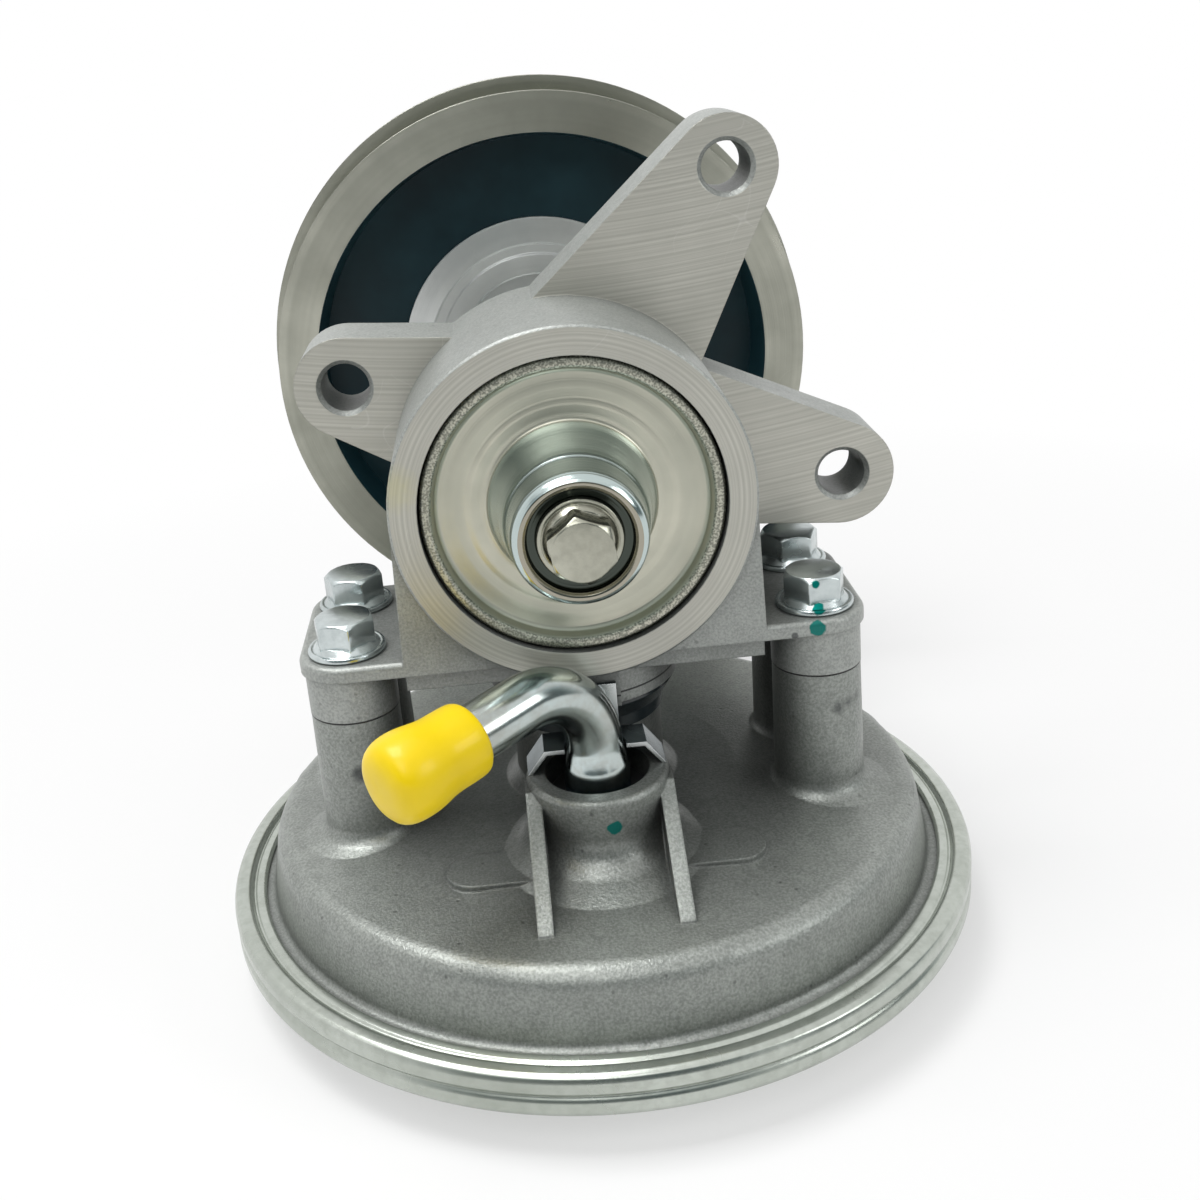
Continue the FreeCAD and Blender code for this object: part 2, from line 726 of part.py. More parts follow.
def polar(reach, bearing):
    """Return the two expressions of a point at a distance from the shaft line, at an angle."""
    return "(%s) * cos(%s)" % (reach, bearing), "(%s) * sin(%s)" % (reach, bearing)


def make_drive_housing():
    """The cast housing: barrel, ears, block with its lugs, neck, nose and the bores through them."""
    body = new_body("drive_housing", z="shaft_height")
    barrel = Outline(body, "barrel", "YZ_Plane")
    barrel.polygon(
        ("barrel_front", "0"),
        ("barrel_front", "barrel_radius"),
        ("ear_back", "barrel_radius"),
        ("ear_back", "nose_root_radius"),
        ("nose_waist_at", "nose_waist_radius"),
        ("nose_end", "nose_end_radius"),
        ("nose_end", "0"),
    )
    turn(barrel, name="Barrel")

    for side in ("top", "left", "right"):
        x, y = polar("barrel_radius + %s_ear_reach" % side, side + "_ear_turn")
        first = polar("barrel_radius - %s_root_sink" % side, side + "_root_turn")
        second = polar("barrel_radius - %s_side_sink" % side, side + "_side_turn")
        outline = Outline(body, side + "_ear", "XZ_Plane", lift="-ear_front")
        outline.ear(x, y, side + "_ear_radius", first, second)
        pad(outline, "ear_thickness", side + "_Ear", backwards=True)

    block = Outline(body, "block", "XZ_Plane", along="-shaft_height")
    block.polygon(
        ("-block_half_width", "plate_bottom"),
        ("block_half_width", "plate_bottom"),
        ("block_half_width - block_draft", "shaft_height"),
        ("block_draft - block_half_width", "shaft_height"),
    )
    pad(block, "2 * block_half_depth", "Block", both_ways=True)
    low = Outline(body, "low_block", "XY_Plane", lift="block_bottom - shaft_height")
    low.polygon(
        ("-block_half_width", "block_setback - block_half_depth"),
        ("block_half_width", "block_setback - block_half_depth"),
        ("block_half_width", "block_half_depth - block_setback"),
        ("-block_half_width", "block_half_depth - block_setback"),
    )
    pad(low, "plate_bottom - block_bottom + bite", "LowBlock")

    plate = Outline(body, "lug_plate", "XY_Plane", lift="plate_bottom - shaft_height")
    plate.polygon(
        ("-post_x", "-block_half_depth"),
        ("post_x", "-block_half_depth"),
        ("post_x", "block_half_depth"),
        ("-post_x", "block_half_depth"),
    )
    pad(plate, "lug_plate", "LugPlate")
    side = Outline(body, "lug_side", "XY_Plane", lift="plate_bottom - shaft_height")
    side.polygon(
        ("-post_x - lug_radius", "-post_y"),
        ("post_x + lug_radius", "-post_y"),
        ("post_x + lug_radius", "post_y"),
        ("-post_x - lug_radius", "post_y"),
    )
    pad(side, "lug_plate", "LugSide")
    for index, (sx, sy) in enumerate(CORNERS):
        rounded = Outline(body, "lug%d" % index, "XY_Plane", lift="plate_bottom - shaft_height")
        rounded.circle(sx + "post_x", sy + "post_y", "lug_radius")
        pad(rounded, "lug_plate", "Lug%d" % index)
        boss = Outline(body, "lug_boss%d" % index, "XY_Plane", lift="post_top - shaft_height")
        boss.circle(sx + "post_x", sy + "post_y", "lug_boss_radius")
        pad(boss, "plate_bottom - post_top + lug_plate / 2", "LugBoss%d" % index)
    level, wall = number("lug_top"), number("block_half_width")

    def on_plate_rim(edge):
        box = edge.BoundBox
        flat = max(abs(box.ZMin + number("shaft_height") - level), abs(box.ZMax + number("shaft_height") - level))
        return flat < 0.01 and max(abs(box.XMin), abs(box.XMax)) > wall + 0.01
    finish_edges(body, "Fillet", "lug_edge", on_plate_rim, "LugEdges")

    neck = Outline(body, "neck", "XY_Plane", lift="neck_bottom - shaft_height")
    neck.circle("0", "0", "neck_radius")
    pad(neck, "block_bottom - neck_bottom + bite", "Neck")
    flat = Outline(body, "clip_seat", "XY_Plane", lift="neck_bottom - shaft_height")
    flat.polygon(
        ("-tongue_half_width - tongue_margin", "tongue_back"),
        ("tongue_half_width + tongue_margin", "tongue_back"),
        ("tongue_half_width + tongue_margin", "0"),
        ("-tongue_half_width - tongue_margin", "0"),
    )
    pad(flat, "block_bottom - neck_bottom + bite", "ClipSeat")

    bores = Outline(body, "bores", "YZ_Plane")
    bores.polygon(
        ("barrel_front", "0"),
        ("barrel_front", "barrel_mouth_radius"),
        ("barrel_seat", "barrel_mouth_radius"),
        ("barrel_seat", "housing_bore_radius"),
        ("shaft_collar_front", "housing_bore_radius"),
        ("shaft_collar_front", "nose_bore_radius"),
        ("rear_bearing_front", "nose_bore_radius"),
        ("rear_bearing_front", "rear_bearing_radius"),
        ("nose_end", "rear_bearing_radius"),
        ("nose_end", "0"),
    )
    turned_cut(bores, name="Bores")

    groove = Outline(body, "snap_groove", "YZ_Plane")
    groove.polygon(
        ("snap_ring_front", "rear_bearing_radius - bite"),
        ("snap_ring_front + snap_ring_thickness", "rear_bearing_radius - bite"),
        ("snap_ring_front + snap_ring_thickness", "rear_bearing_radius + snap_ring_depth"),
        ("snap_ring_front", "rear_bearing_radius + snap_ring_depth"),
    )
    turned_cut(groove, name="SnapGroove")

    passage = Outline(body, "passage", "XY_Plane", lift="neck_bottom - shaft_height")
    passage.circle("0", "0", "rod_passage_radius")
    cut(passage, "shaft_height - neck_bottom - housing_bore_radius / 2", "Passage", backwards=True)

    for side in ("top", "left", "right"):
        x, y = polar("barrel_radius + %s_ear_reach" % side, side + "_ear_turn")
        hole = Outline(body, side + "_hole", "XZ_Plane", lift="-ear_front")
        hole.circle(x, y, "ear_hole_radius")
        cut(hole, "ear_thickness", side + "_Hole")
    for index, (sx, sy) in enumerate(CORNERS):
        hole = Outline(body, "lug_hole%d" % index, "XY_Plane", lift="lug_top - shaft_height")
        hole.circle(sx + "post_x", sy + "post_y", "bolt_radius + bolt_hole_gap")
        cut(hole, "lug_top - post_top", "LugHole%d" % index)
    screw = Outline(body, "screw_hole", "XZ_Plane", along="-shaft_height", lift="-(tongue_back)")
    screw.circle("0", "screw_level", "screw_radius + bolt_thread_gap")
    cut(screw, "screw_length", "ScrewHole")

    hole_radius = number("ear_hole_radius")
    faces = (number("ear_front"), number("ear_back"))
    finish_edges(body, "Chamfer", "ear_chamfer",
                 lambda edge: any(is_circle(edge, hole_radius, "y", at) for at in faces), "EarHoleChamfer")
    chamfer_ring(body, "barrel_edge", "barrel_radius", "y", "barrel_front", "BarrelEdge")
    return body


def make_dome_cover():
    """The cast cover: dome, boss and spigot, four posts, port cup with its ribs, vent and valve floors."""
    body = new_body("dome_cover")
    shell = Outline(body, "shell", "XZ_Plane")
    shell.polygon(
        ("0", "dome_top"),
        ("0", "chamber_ceiling"),
        ("dome_shoulder_radius - dome_wall - dome_shoulder_fillet", "chamber_ceiling"),
        ("dome_shoulder_radius - dome_wall", "chamber_ceiling - dome_shoulder_fillet"),
        ("dome_foot_radius - dome_wall", "clamp_top"),
        ("flange_radius", "clamp_top"),
        ("flange_radius", "roof"),
        ("dome_foot_radius", "roof"),
        ("dome_shoulder_radius", "dome_shoulder"),
        ("dome_top_radius", "dome_top"),
    )
    turn(shell, "V_Axis", "Shell")
    round_ring(body, "dome_shoulder_fillet", "dome_shoulder_radius", "z", "dome_shoulder", "Shoulder")
    round_ring(body, "dome_foot_fillet", "dome_foot_radius", "z", "roof", "Foot")

    boss = Outline(body, "boss", "XZ_Plane")
    boss.polygon(
        ("0", "chamber_ceiling + bite"),
        ("dome_boss_radius + boss_flare", "chamber_ceiling + bite"),
        ("dome_boss_radius + boss_flare", "dome_top"),
        ("dome_boss_radius", "dome_top + boss_flare"),
        ("dome_boss_radius", "dome_boss_top"),
        ("spigot_radius", "dome_boss_top"),
        ("spigot_radius", "dome_boss_top + spigot_height"),
        ("0", "dome_boss_top + spigot_height"),
    )
    turn(boss, "V_Axis", "Boss")

    for index, (sx, sy) in enumerate(CORNERS):
        post = Outline(body, "post%d" % index, "XZ_Plane", across=sx + "post_x", lift=sy + "post_y")
        post.column("post_radius", "post_top", "post_radius + post_draft", "post_foot_fillet",
                    "dome_shoulder + skirt_sink", "dome_shoulder - skirt_sink")
        turn(post, "V_Axis", "Post%d" % index)

    cup = Outline(body, "cup", "XZ_Plane", lift="-port_y")
    cup.column("port_rim_radius", "port_rim", "port_rim_radius - port_draft", "port_foot_fillet",
               "dome_shoulder + skirt_sink + port_foot_rise - port_foot_fillet", "dome_shoulder - skirt_sink")
    turn(cup, "V_Axis", "Cup")
    round_ring(body, "port_rim_round", "port_rim_radius", "z", "port_rim", "RimRound")

    for side in ("-", ""):
        rib = Outline(body, "rib" + ("a" if side else "b"), "YZ_Plane", lift=side + "rib_x")
        rib.polygon(
            ("port_y", "chamber_ceiling + bite"),
            ("port_y - rib_reach", "chamber_ceiling + bite"),
            ("port_y - rib_reach", "dome_shoulder + rib_toe_height"),
            ("port_y - rib_shoulder", "port_rim - rib_drop"),
            ("port_y", "port_rim - rib_drop"),
        )
        pad(rib, "rib_thickness", "Rib" + ("a" if side else "b"), both_ways=True)

    pads = Outline(body, "pads", "XY_Plane", lift="chamber_ceiling + bite")
    left = pads.arc("-pad_half_length", "pad_y", "pad_radius", math.pi / 2, 3 * math.pi / 2)
    right = pads.arc("pad_half_length", "pad_y", "pad_radius", -math.pi / 2, math.pi / 2)
    low = pads.line(("-pad_half_length", "pad_y - pad_radius"), ("pad_half_length", "pad_y - pad_radius"))
    high = pads.line(("pad_half_length", "pad_y + pad_radius"), ("-pad_half_length", "pad_y + pad_radius"))
    sides = (left, low, right, high)
    for index, side in enumerate(sides):
        following = sides[(index + 1) % len(sides)]
        pads.sketch.addConstraint(Sketcher.Constraint("Tangent", side, 2, following, 1))
    pad(pads, "pad_top - chamber_ceiling - bite", "RaisedPads")

    vent = Outline(body, "vent", "XY_Plane", lift="chamber_ceiling + bite")
    vent.circle("0", "-port_y", "vent_radius")
    pad(vent, "vent_top - chamber_ceiling - bite", "Vent")

    passage = Outline(body, "passage", "XY_Plane", lift="dome_boss_top + spigot_height")
    passage.circle("0", "0", "rod_passage_radius")
    cut(passage, "dome_boss_top + spigot_height - chamber_ceiling", "Passage")
    for name, radius, top, bottom in (
        ("mouth", "port_mouth_radius", "port_rim", "port_seat"),
        ("throat", "port_bore_radius", "port_seat", "valve_floor"),
    ):
        hole = Outline(body, name, "XY_Plane", lift=top)
        hole.circle("0", "port_y", radius)
        cut(hole, top + " - " + bottom, name)
    chimney = Outline(body, "chimney", "XY_Plane", lift="vent_top")
    chimney.circle("0", "-port_y", "port_bore_radius")
    cut(chimney, "vent_top - valve_floor", "Chimney")
    pocket = Outline(body, "valve_pocket", "XY_Plane", lift="chamber_ceiling")
    pocket.circle("0", "port_y", "valve_pocket_radius")
    cut(pocket, "valve_floor - valve_floor_thickness - chamber_ceiling", "ValvePocket", backwards=True)
    for name, y in (("inlet", "port_y"), ("outlet", "-port_y")):
        holes = Outline(body, name + "_holes", "XY_Plane", lift="valve_floor")
        holes.circle("0", y, "valve_stem_radius + valve_stem_gap")
        for sign in ("", "-"):
            holes.circle(sign + "valve_hole_circle", y, "valve_hole_radius")
            holes.circle("0", "%s + (%svalve_hole_circle)" % (y, sign), "valve_hole_radius")
        cut(holes, "valve_floor - chamber_ceiling", name + "_Holes")
    for index, (sx, sy) in enumerate(CORNERS):
        hole = Outline(body, "post_hole%d" % index, "XY_Plane", lift="post_top")
        hole.circle(sx + "post_x", sy + "post_y", "bolt_radius + bolt_thread_gap")
        cut(hole, "post_top - housing_bolt_reach + bolt_end_gap", "PostHole%d" % index)
    return body


def make_bottom_pan():
    """The pressed pan with its stiffening bead."""
    body = new_body("bottom_pan")
    pan = Outline(body, "section", "XZ_Plane")
    pan.polygon(
        ("0", "0"),
        ("pan_bead_radius - pan_bead_half_width", "0"),
        ("pan_bead_radius - pan_bead_half_width / 2", "pan_bead_rise"),
        ("pan_bead_radius + pan_bead_half_width / 2", "pan_bead_rise"),
        ("pan_bead_radius + pan_bead_half_width", "0"),
        ("pan_floor_radius", "0"),
        ("pan_wall_radius", "pan_flange"),
        ("flange_radius", "pan_flange"),
        ("flange_radius", "pan_flange + pan_sheet"),
        ("pan_wall_radius - pan_sheet / 2", "pan_flange + pan_sheet"),
        ("pan_floor_radius - pan_sheet / 2", "pan_sheet"),
        ("pan_bead_radius + pan_bead_half_width", "pan_sheet"),
        ("pan_bead_radius + pan_bead_half_width / 2", "pan_sheet + pan_bead_rise"),
        ("pan_bead_radius - pan_bead_half_width / 2", "pan_sheet + pan_bead_rise"),
        ("pan_bead_radius - pan_bead_half_width", "pan_sheet"),
        ("0", "pan_sheet"),
    )
    turn(pan, "V_Axis")
    return body


def make_crimp_ring():
    """The steel ring rolled round the flanges of the dome, the diaphragm and the pan."""
    body = new_body("crimp_ring")
    bottom = "pan_flange - rim_sheet"
    top = "roof + rim_sheet"
    middle = "(%s + %s) / 2" % (bottom, top)
    ring = Outline(body, "section", "XZ_Plane")
    ring.polygon(
        ("rim_outer_radius - rim_underleg", bottom),
        ("rim_outer_radius", bottom),
        ("rim_outer_radius", middle + " - rim_bead"),
        ("rim_outer_radius - rim_bead", middle),
        ("rim_outer_radius", middle + " + rim_bead"),
        ("rim_outer_radius", top),
        ("rim_lip_radius + rim_step", top),
        ("rim_lip_radius + rim_step - rim_sheet", top + " - rim_bead"),
        ("rim_lip_radius", top + " - rim_bead / 2"),
        ("rim_lip_radius", "roof"),
        ("rim_inside_radius", "roof"),
        ("rim_inside_radius", "pan_flange"),
        ("rim_outer_radius - rim_underleg", "pan_flange"),
    )
    turn(ring, "V_Axis")
    round_ring(body, "1.4 * rim_sheet", "rim_outer_radius", "z", top, "TopRoll")
    round_ring(body, "rim_sheet", "rim_outer_radius", "z", bottom, "BottomRoll")
    return body


def make_diaphragm():
    """The rubber sheet, clamped at its rim and drawn down with the rod at the bottom of its stroke."""
    body = new_body("diaphragm")
    clamp = "clamp_bottom"
    low = clamp + " - throw"
    edge = "flange_radius"
    middle = "(roll_inner_radius + roll_outer_radius) / 2"
    sheet_outline = Outline(body, "section", "XZ_Plane")
    sheet_outline.polygon(
        ("bolt_radius + seat_gap", low),
        ("roll_inner_radius", low),
        (middle, clamp + " + roll_rise - diaphragm_thickness"),
        ("roll_outer_radius", clamp),
        (edge, clamp),
        (edge, clamp + " + diaphragm_thickness"),
        ("roll_outer_radius", clamp + " + diaphragm_thickness"),
        (middle, clamp + " + roll_rise"),
        ("roll_inner_radius", low + " + diaphragm_thickness"),
        ("bolt_radius + seat_gap", low + " + diaphragm_thickness"),
    )
    turn(sheet_outline, "V_Axis")
    return body


def make_plates():
    """The two plates that hold the diaphragm, and the nut under them."""
    low = "clamp_bottom - throw"
    top = low + " + diaphragm_thickness"
    upper = new_body("upper_diaphragm_plate")
    outline = Outline(upper, "section", "XZ_Plane")
    outline.polygon(
        ("bolt_radius + seat_gap", top),
        ("plate_radius - plate_curl", top),
        ("plate_radius", top + " + plate_curl"),
        ("plate_radius - plate_sheet * 0.7", top + " + plate_curl + plate_sheet * 0.7"),
        ("plate_radius - plate_curl - plate_sheet * 0.5", top + " + plate_sheet"),
        ("bolt_radius + seat_gap", top + " + plate_sheet"),
    )
    turn(outline, "V_Axis")
    lower = new_body("lower_diaphragm_plate")
    outline = Outline(lower, "section", "XZ_Plane")
    outline.polygon(
        ("bolt_radius + seat_gap", low),
        ("bolt_radius + seat_gap", low + " - plate_sheet"),
        ("plate_radius - plate_sheet", low + " - plate_sheet"),
        ("plate_radius", low + " - plate_sheet / 2"),
        ("plate_radius", low),
    )
    turn(outline, "V_Axis")
    nut = new_body("diaphragm_nut")
    nut_top = low + " - plate_sheet"
    add_hexagon(nut, "hexagon", "nut_flats", nut_top + " - nut_height", "nut_height")
    hole = Outline(nut, "hole", "XY_Plane", lift=nut_top)
    hole.circle("0", "0", "bolt_radius + seat_gap")
    cut(hole, "nut_height", "Hole")
    return [upper, lower, nut]


def add_hexagon(body, name, flats, level, height):
    """Pad a hexagon with its flats facing the body's Y."""
    half = "(%s) / 2" % flats
    corner = "(%s) / 2 / cos(30)" % flats
    outline = Outline(body, name, "XY_Plane", lift=level)
    outline.polygon(
        (corner, "0"),
        (corner + " / 2", half),
        ("-" + corner + " / 2", half),
        ("-" + corner, "0"),
        ("-" + corner + " / 2", "-" + half),
        (corner + " / 2", "-" + half),
    )
    return pad(outline, height, name.capitalize())


def make_connecting_rod():
    """The rod at the bottom of its stroke: ring round the eccentric, shank, foot and threaded stud."""
    body = new_body("connecting_rod")
    centre = "shaft_height - throw"
    foot = "clamp_top - throw + plate_sheet"
    shank = Outline(body, "shank", "XZ_Plane")
    shank.polygon(
        ("0", foot + " - plate_sheet * 2 - diaphragm_thickness - nut_height"),
        ("bolt_radius", foot + " - plate_sheet * 2 - diaphragm_thickness - nut_height"),
        ("bolt_radius", foot),
        ("rod_foot_radius", foot),
        ("rod_foot_radius", foot + " + rod_foot_height / 2"),
        ("rod_shank_radius", foot + " + rod_foot_height * 2"),
        ("rod_shank_radius", centre + " - rod_ring_radius - rod_neck_length"),
        ("rod_neck_radius", centre + " - rod_ring_radius + bite"),
        ("0", centre + " - rod_ring_radius + bite"),
    )
    turn(shank, "V_Axis", "Shank")
    ring = Outline(body, "ring", "XZ_Plane", along=centre)
    ring.circle("0", "0", "rod_ring_radius")
    pad(ring, "rod_width", "Ring", both_ways=True)
    bore = Outline(body, "bore", "XZ_Plane", along=centre, lift="rod_width / 2")
    bore.circle("0", "0", "rod_bore_radius")
    cut(bore, "rod_width", "Bore")
    radius = number("rod_ring_radius")
    finish_edges(body, "Chamfer", "rod_edge", lambda edge: isinstance(edge.Curve, Part.Circle)
                 and abs(edge.Curve.Radius - radius) < 0.01 and abs(edge.Curve.Axis.y) > 0.9, "RingChamfer")
    return body


def sleeve(label, inner, outer, front, back, height="shaft_height"):
    """A plain turned sleeve on the shaft line, between two places along Y."""
    body = new_body(label, z=height)
    outline = Outline(body, "section", "YZ_Plane")
    outline.polygon((front, inner), (back, inner), (back, outer), (front, outer))
    turn(outline)
    return body


def make_eccentric_parts():
    """The rod's bushing and the eccentric inside it, on the crank's centre."""
    centre = "shaft_height - throw"
    half = "rod_width / 2"
    bushing = sleeve("rod_bushing", "eccentric_radius + running_gap", "rod_bore_radius", "-" + half, half, centre)
    eccentric = new_body("eccentric", z=centre)
    disc = Outline(eccentric, "disc", "XZ_Plane")
    disc.circle("0", "0", "eccentric_radius")
    pad(disc, "rod_width + bite", "Disc", both_ways=True)
    bore = Outline(eccentric, "bore", "XZ_Plane", lift="(rod_width + bite) / 2")
    bore.circle("0", "throw", "shaft_radius + seat_gap")
    cut(bore, "rod_width + bite", "Bore")
    return [bushing, eccentric]


def make_shaft():
    """The drive shaft with its collar and the thread in its front end."""
    body = new_body("drive_shaft", z="shaft_height")
    shaft = Outline(body, "section", "YZ_Plane")
    shaft.polygon(
        ("shaft_front", "0"),
        ("shaft_front", "shaft_radius"),
        ("shaft_collar_front", "shaft_radius"),
        ("shaft_collar_front", "shaft_collar_radius"),
        ("rear_bearing_front - seat_gap", "shaft_collar_radius"),
        ("rear_bearing_front - seat_gap", "shaft_radius"),
        ("shaft_rear", "shaft_radius"),
        ("shaft_rear", "0"),
    )
    turn(shaft)
    front = Outline(body, "front_thread", "XZ_Plane", lift="-shaft_front")
    front.circle("0", "0", "bolt_radius + bolt_thread_gap")
    cut(front, "shaft_thread_depth", "FrontThread")
    rear = Outline(body, "rear_thread", "XZ_Plane", lift="-shaft_rear")
    rear.circle("0", "0", "bolt_radius + bolt_thread_gap")
    cut(rear, "shaft_thread_depth", "RearThread", backwards=True)
    chamfer_ring(body, "shaft_chamfer", "shaft_radius", "y", "shaft_rear", "RearChamfer")
    return body


def bearing(name, inner, inner_top, outer_bottom, outer, front, ball, count):
    """A ball bearing as its two rings, each with its race, and the set of balls between them."""
    middle = "(%s + %s) / 2" % (inner_top, outer_bottom)
    centre = "%s + bearing_width / 2" % front
    race = "(%s + ball_gap)" % ball
    rings = []
    for part_name, plain, raced in (("inner", inner, inner_top), ("outer", outer, outer_bottom)):
        body = new_body("%s_bearing_%s_ring" % (name, part_name), z="shaft_height")
        section = Outline(body, "section", "YZ_Plane")
        section.raced_ring(front, front + " + bearing_width", plain, raced, centre, middle, race)
        turn(section)
        rings.append(body)
    balls = doc.addObject("Part::Feature", name + "_bearing_balls")
    balls.Label = name + "_bearing_balls"
    pitch = number(middle)
    spheres = []
    for index in range(int(number(count))):
        angle = 2 * math.pi * index / number(count)
        at = V(pitch * math.cos(angle), number(centre), pitch * math.sin(angle))
        spheres.append(Part.makeSphere(number(ball), at))
    balls.Shape = Part.makeCompound(spheres)
    balls.Placement = FreeCAD.Placement(V(0, 0, number("shaft_height")), FreeCAD.Rotation())
    return rings + [balls]


def make_bearings():
    """Both ball bearings, with the snap ring, seal and spacer behind the rear one."""
    front = bearing("front", "shaft_radius + seat_gap", "front_inner_ring_radius", "front_outer_ring_radius",
                    "housing_bore_radius", "front_bearing_front", "front_ball_radius", "front_ball_count")
    rear = bearing("rear", "shaft_radius + seat_gap", "rear_inner_ring_radius", "rear_outer_ring_radius",
                   "rear_bearing_radius", "rear_bearing_front", "rear_ball_radius", "rear_ball_count")
    outside = "rear_bearing_radius + snap_ring_depth"
    snap_ring_back = "snap_ring_front + snap_ring_thickness"
    ring = new_body("snap_ring", z="shaft_height")
    section = Outline(ring, "section", "YZ_Plane")
    section.polygon(
        ("snap_ring_front", "snap_ring_inner_radius"),
        (snap_ring_back, "snap_ring_inner_radius"),
        (snap_ring_back, outside),
        ("snap_ring_front", outside),
    )
    turn(section)
    gap = Outline(ring, "gap", "XZ_Plane", lift="bite - snap_ring_front")
    gap.polygon(
        ("-snap_ring_gap / 2", "0"),
        ("snap_ring_gap / 2", "0"),
        ("snap_ring_gap / 2", outside + " + bite"),
        ("-snap_ring_gap / 2", outside + " + bite"),
    )
    cut(gap, "snap_ring_thickness + 2 * bite", "Gap")
    seal = sleeve("shaft_seal", "sleeve_radius + running_gap", "rear_bearing_radius",
                  "seal_front", "seal_front + seal_thickness")
    spacer = sleeve("pulley_spacer", "shaft_radius + seat_gap", "sleeve_radius", "snap_ring_front", "boss_front")
    return front + rear + [ring, seal, spacer]


def make_front_disc():
    """The dished disc in the barrel's mouth, with its stepped nose."""
    body = new_body("front_disc", z="shaft_height")
    floor = "disc_face + disc_floor_depth"
    disc = Outline(body, "section", "YZ_Plane")
    disc.polygon(
        ("disc_back", "shaft_radius + seat_gap"),
        ("disc_back", "disc_radius"),
        ("disc_face", "disc_radius"),
        ("disc_face", "disc_band_radius"),
        ("disc_face + disc_band_step", "disc_band_radius - disc_band_step / 2"),
        ("disc_face + disc_dish_depth", "disc_dish_radius + disc_band_step / 2"),
        (floor, "disc_dish_radius"),
        (floor, "hub_base_radius"),
        ("disc_face + hub_base_drop", "hub_base_radius - hub_base_drop"),
        ("hub_waist_end + hub_waist_length", "hub_waist_radius + hub_base_drop"),
        ("hub_waist_end", "hub_waist_radius"),
        ("hub_waist_end - hub_nose_slope", "hub_nose_radius"),
        ("hub_nose_end", "hub_nose_radius"),
        ("hub_nose_end", "hub_mouth_radius"),
        ("hub_seat", "hub_mouth_radius"),
        ("hub_seat", "bolt_radius + bolt_hole_gap"),
        ("shaft_front - disc_gap", "bolt_radius + bolt_hole_gap"),
        ("shaft_front - disc_gap", "shaft_radius + seat_gap"),
    )
    turn(disc)
    round_ring(body, "hub_nose_round", "hub_nose_radius", "y", "hub_nose_end", "NoseRound")
    chamfer_ring(body, "disc_edge", "disc_radius", "y", "disc_face", "RimChamfer")
    return body


def add_flange_bolt(body, length):
    """Build a flanged hexagon bolt on the body's Z axis, with its seat at zero and its shank below."""
    flange = Outline(body, "flange", "XZ_Plane")
    flange.polygon(
        ("0", "-(" + length + ")"),
        ("bolt_radius - bolt_point", "-(" + length + ")"),
        ("bolt_radius", "bolt_point - (" + length + ")"),
        ("bolt_radius", "0"),
        ("bolt_flange_radius", "0"),
        ("bolt_flange_radius", "bolt_flange_edge"),
        ("bolt_head_flats / 2", "bolt_flange_height"),
        ("0", "bolt_flange_height"),
    )
    turn(flange, "V_Axis", "Flange")
    add_hexagon(body, "hexagon", "bolt_head_flats", "bolt_flange_edge", "bolt_head_height - bolt_flange_edge")
    corner = "bolt_head_flats / 2 / cos(30) + bolt_head_chamfer"
    top = Outline(body, "top_chamfer", "XZ_Plane")
    top.polygon(
        ("bolt_head_flats / 2 - bolt_head_chamfer / 3", "bolt_head_height"),
        (corner, "bolt_head_height - bolt_head_chamfer"),
        (corner, "bolt_head_height"),
    )
    turned_cut(top, "V_Axis", "TopChamfer")


def make_bolts():
    """The four bolts of the housing as one part, and the bolt in the disc's nose."""
    seed = new_body("housing_bolt_seed", x="post_x", y="post_y", z="lug_top")
    add_flange_bolt(seed, "lug_top - housing_bolt_reach")
    doc.recompute()
    left = doc.addObject("Part::Mirroring", "housing_bolt_left")
    left.Source = seed
    left.Normal = V(1, 0, 0)
    pair = doc.addObject("Part::Compound", "housing_bolt_pair")
    pair.Links = [seed, left]
    front = doc.addObject("Part::Mirroring", "housing_bolt_front_pair")
    front.Source = pair
    front.Normal = V(0, 1, 0)
    bolts = doc.addObject("Part::Compound", "housing_bolts")
    bolts.Label = "housing_bolts"
    bolts.Links = [pair, front]

    disc_bolt = new_body("front_disc_bolt", y="hub_seat", z="shaft_height")
    add_flange_bolt(disc_bolt, "shaft_front - hub_seat + shaft_thread_depth - bolt_end_gap")
    disc_bolt.Placement.Rotation = FreeCAD.Rotation(V(1, 0, 0), 90)
    return [bolts, disc_bolt]


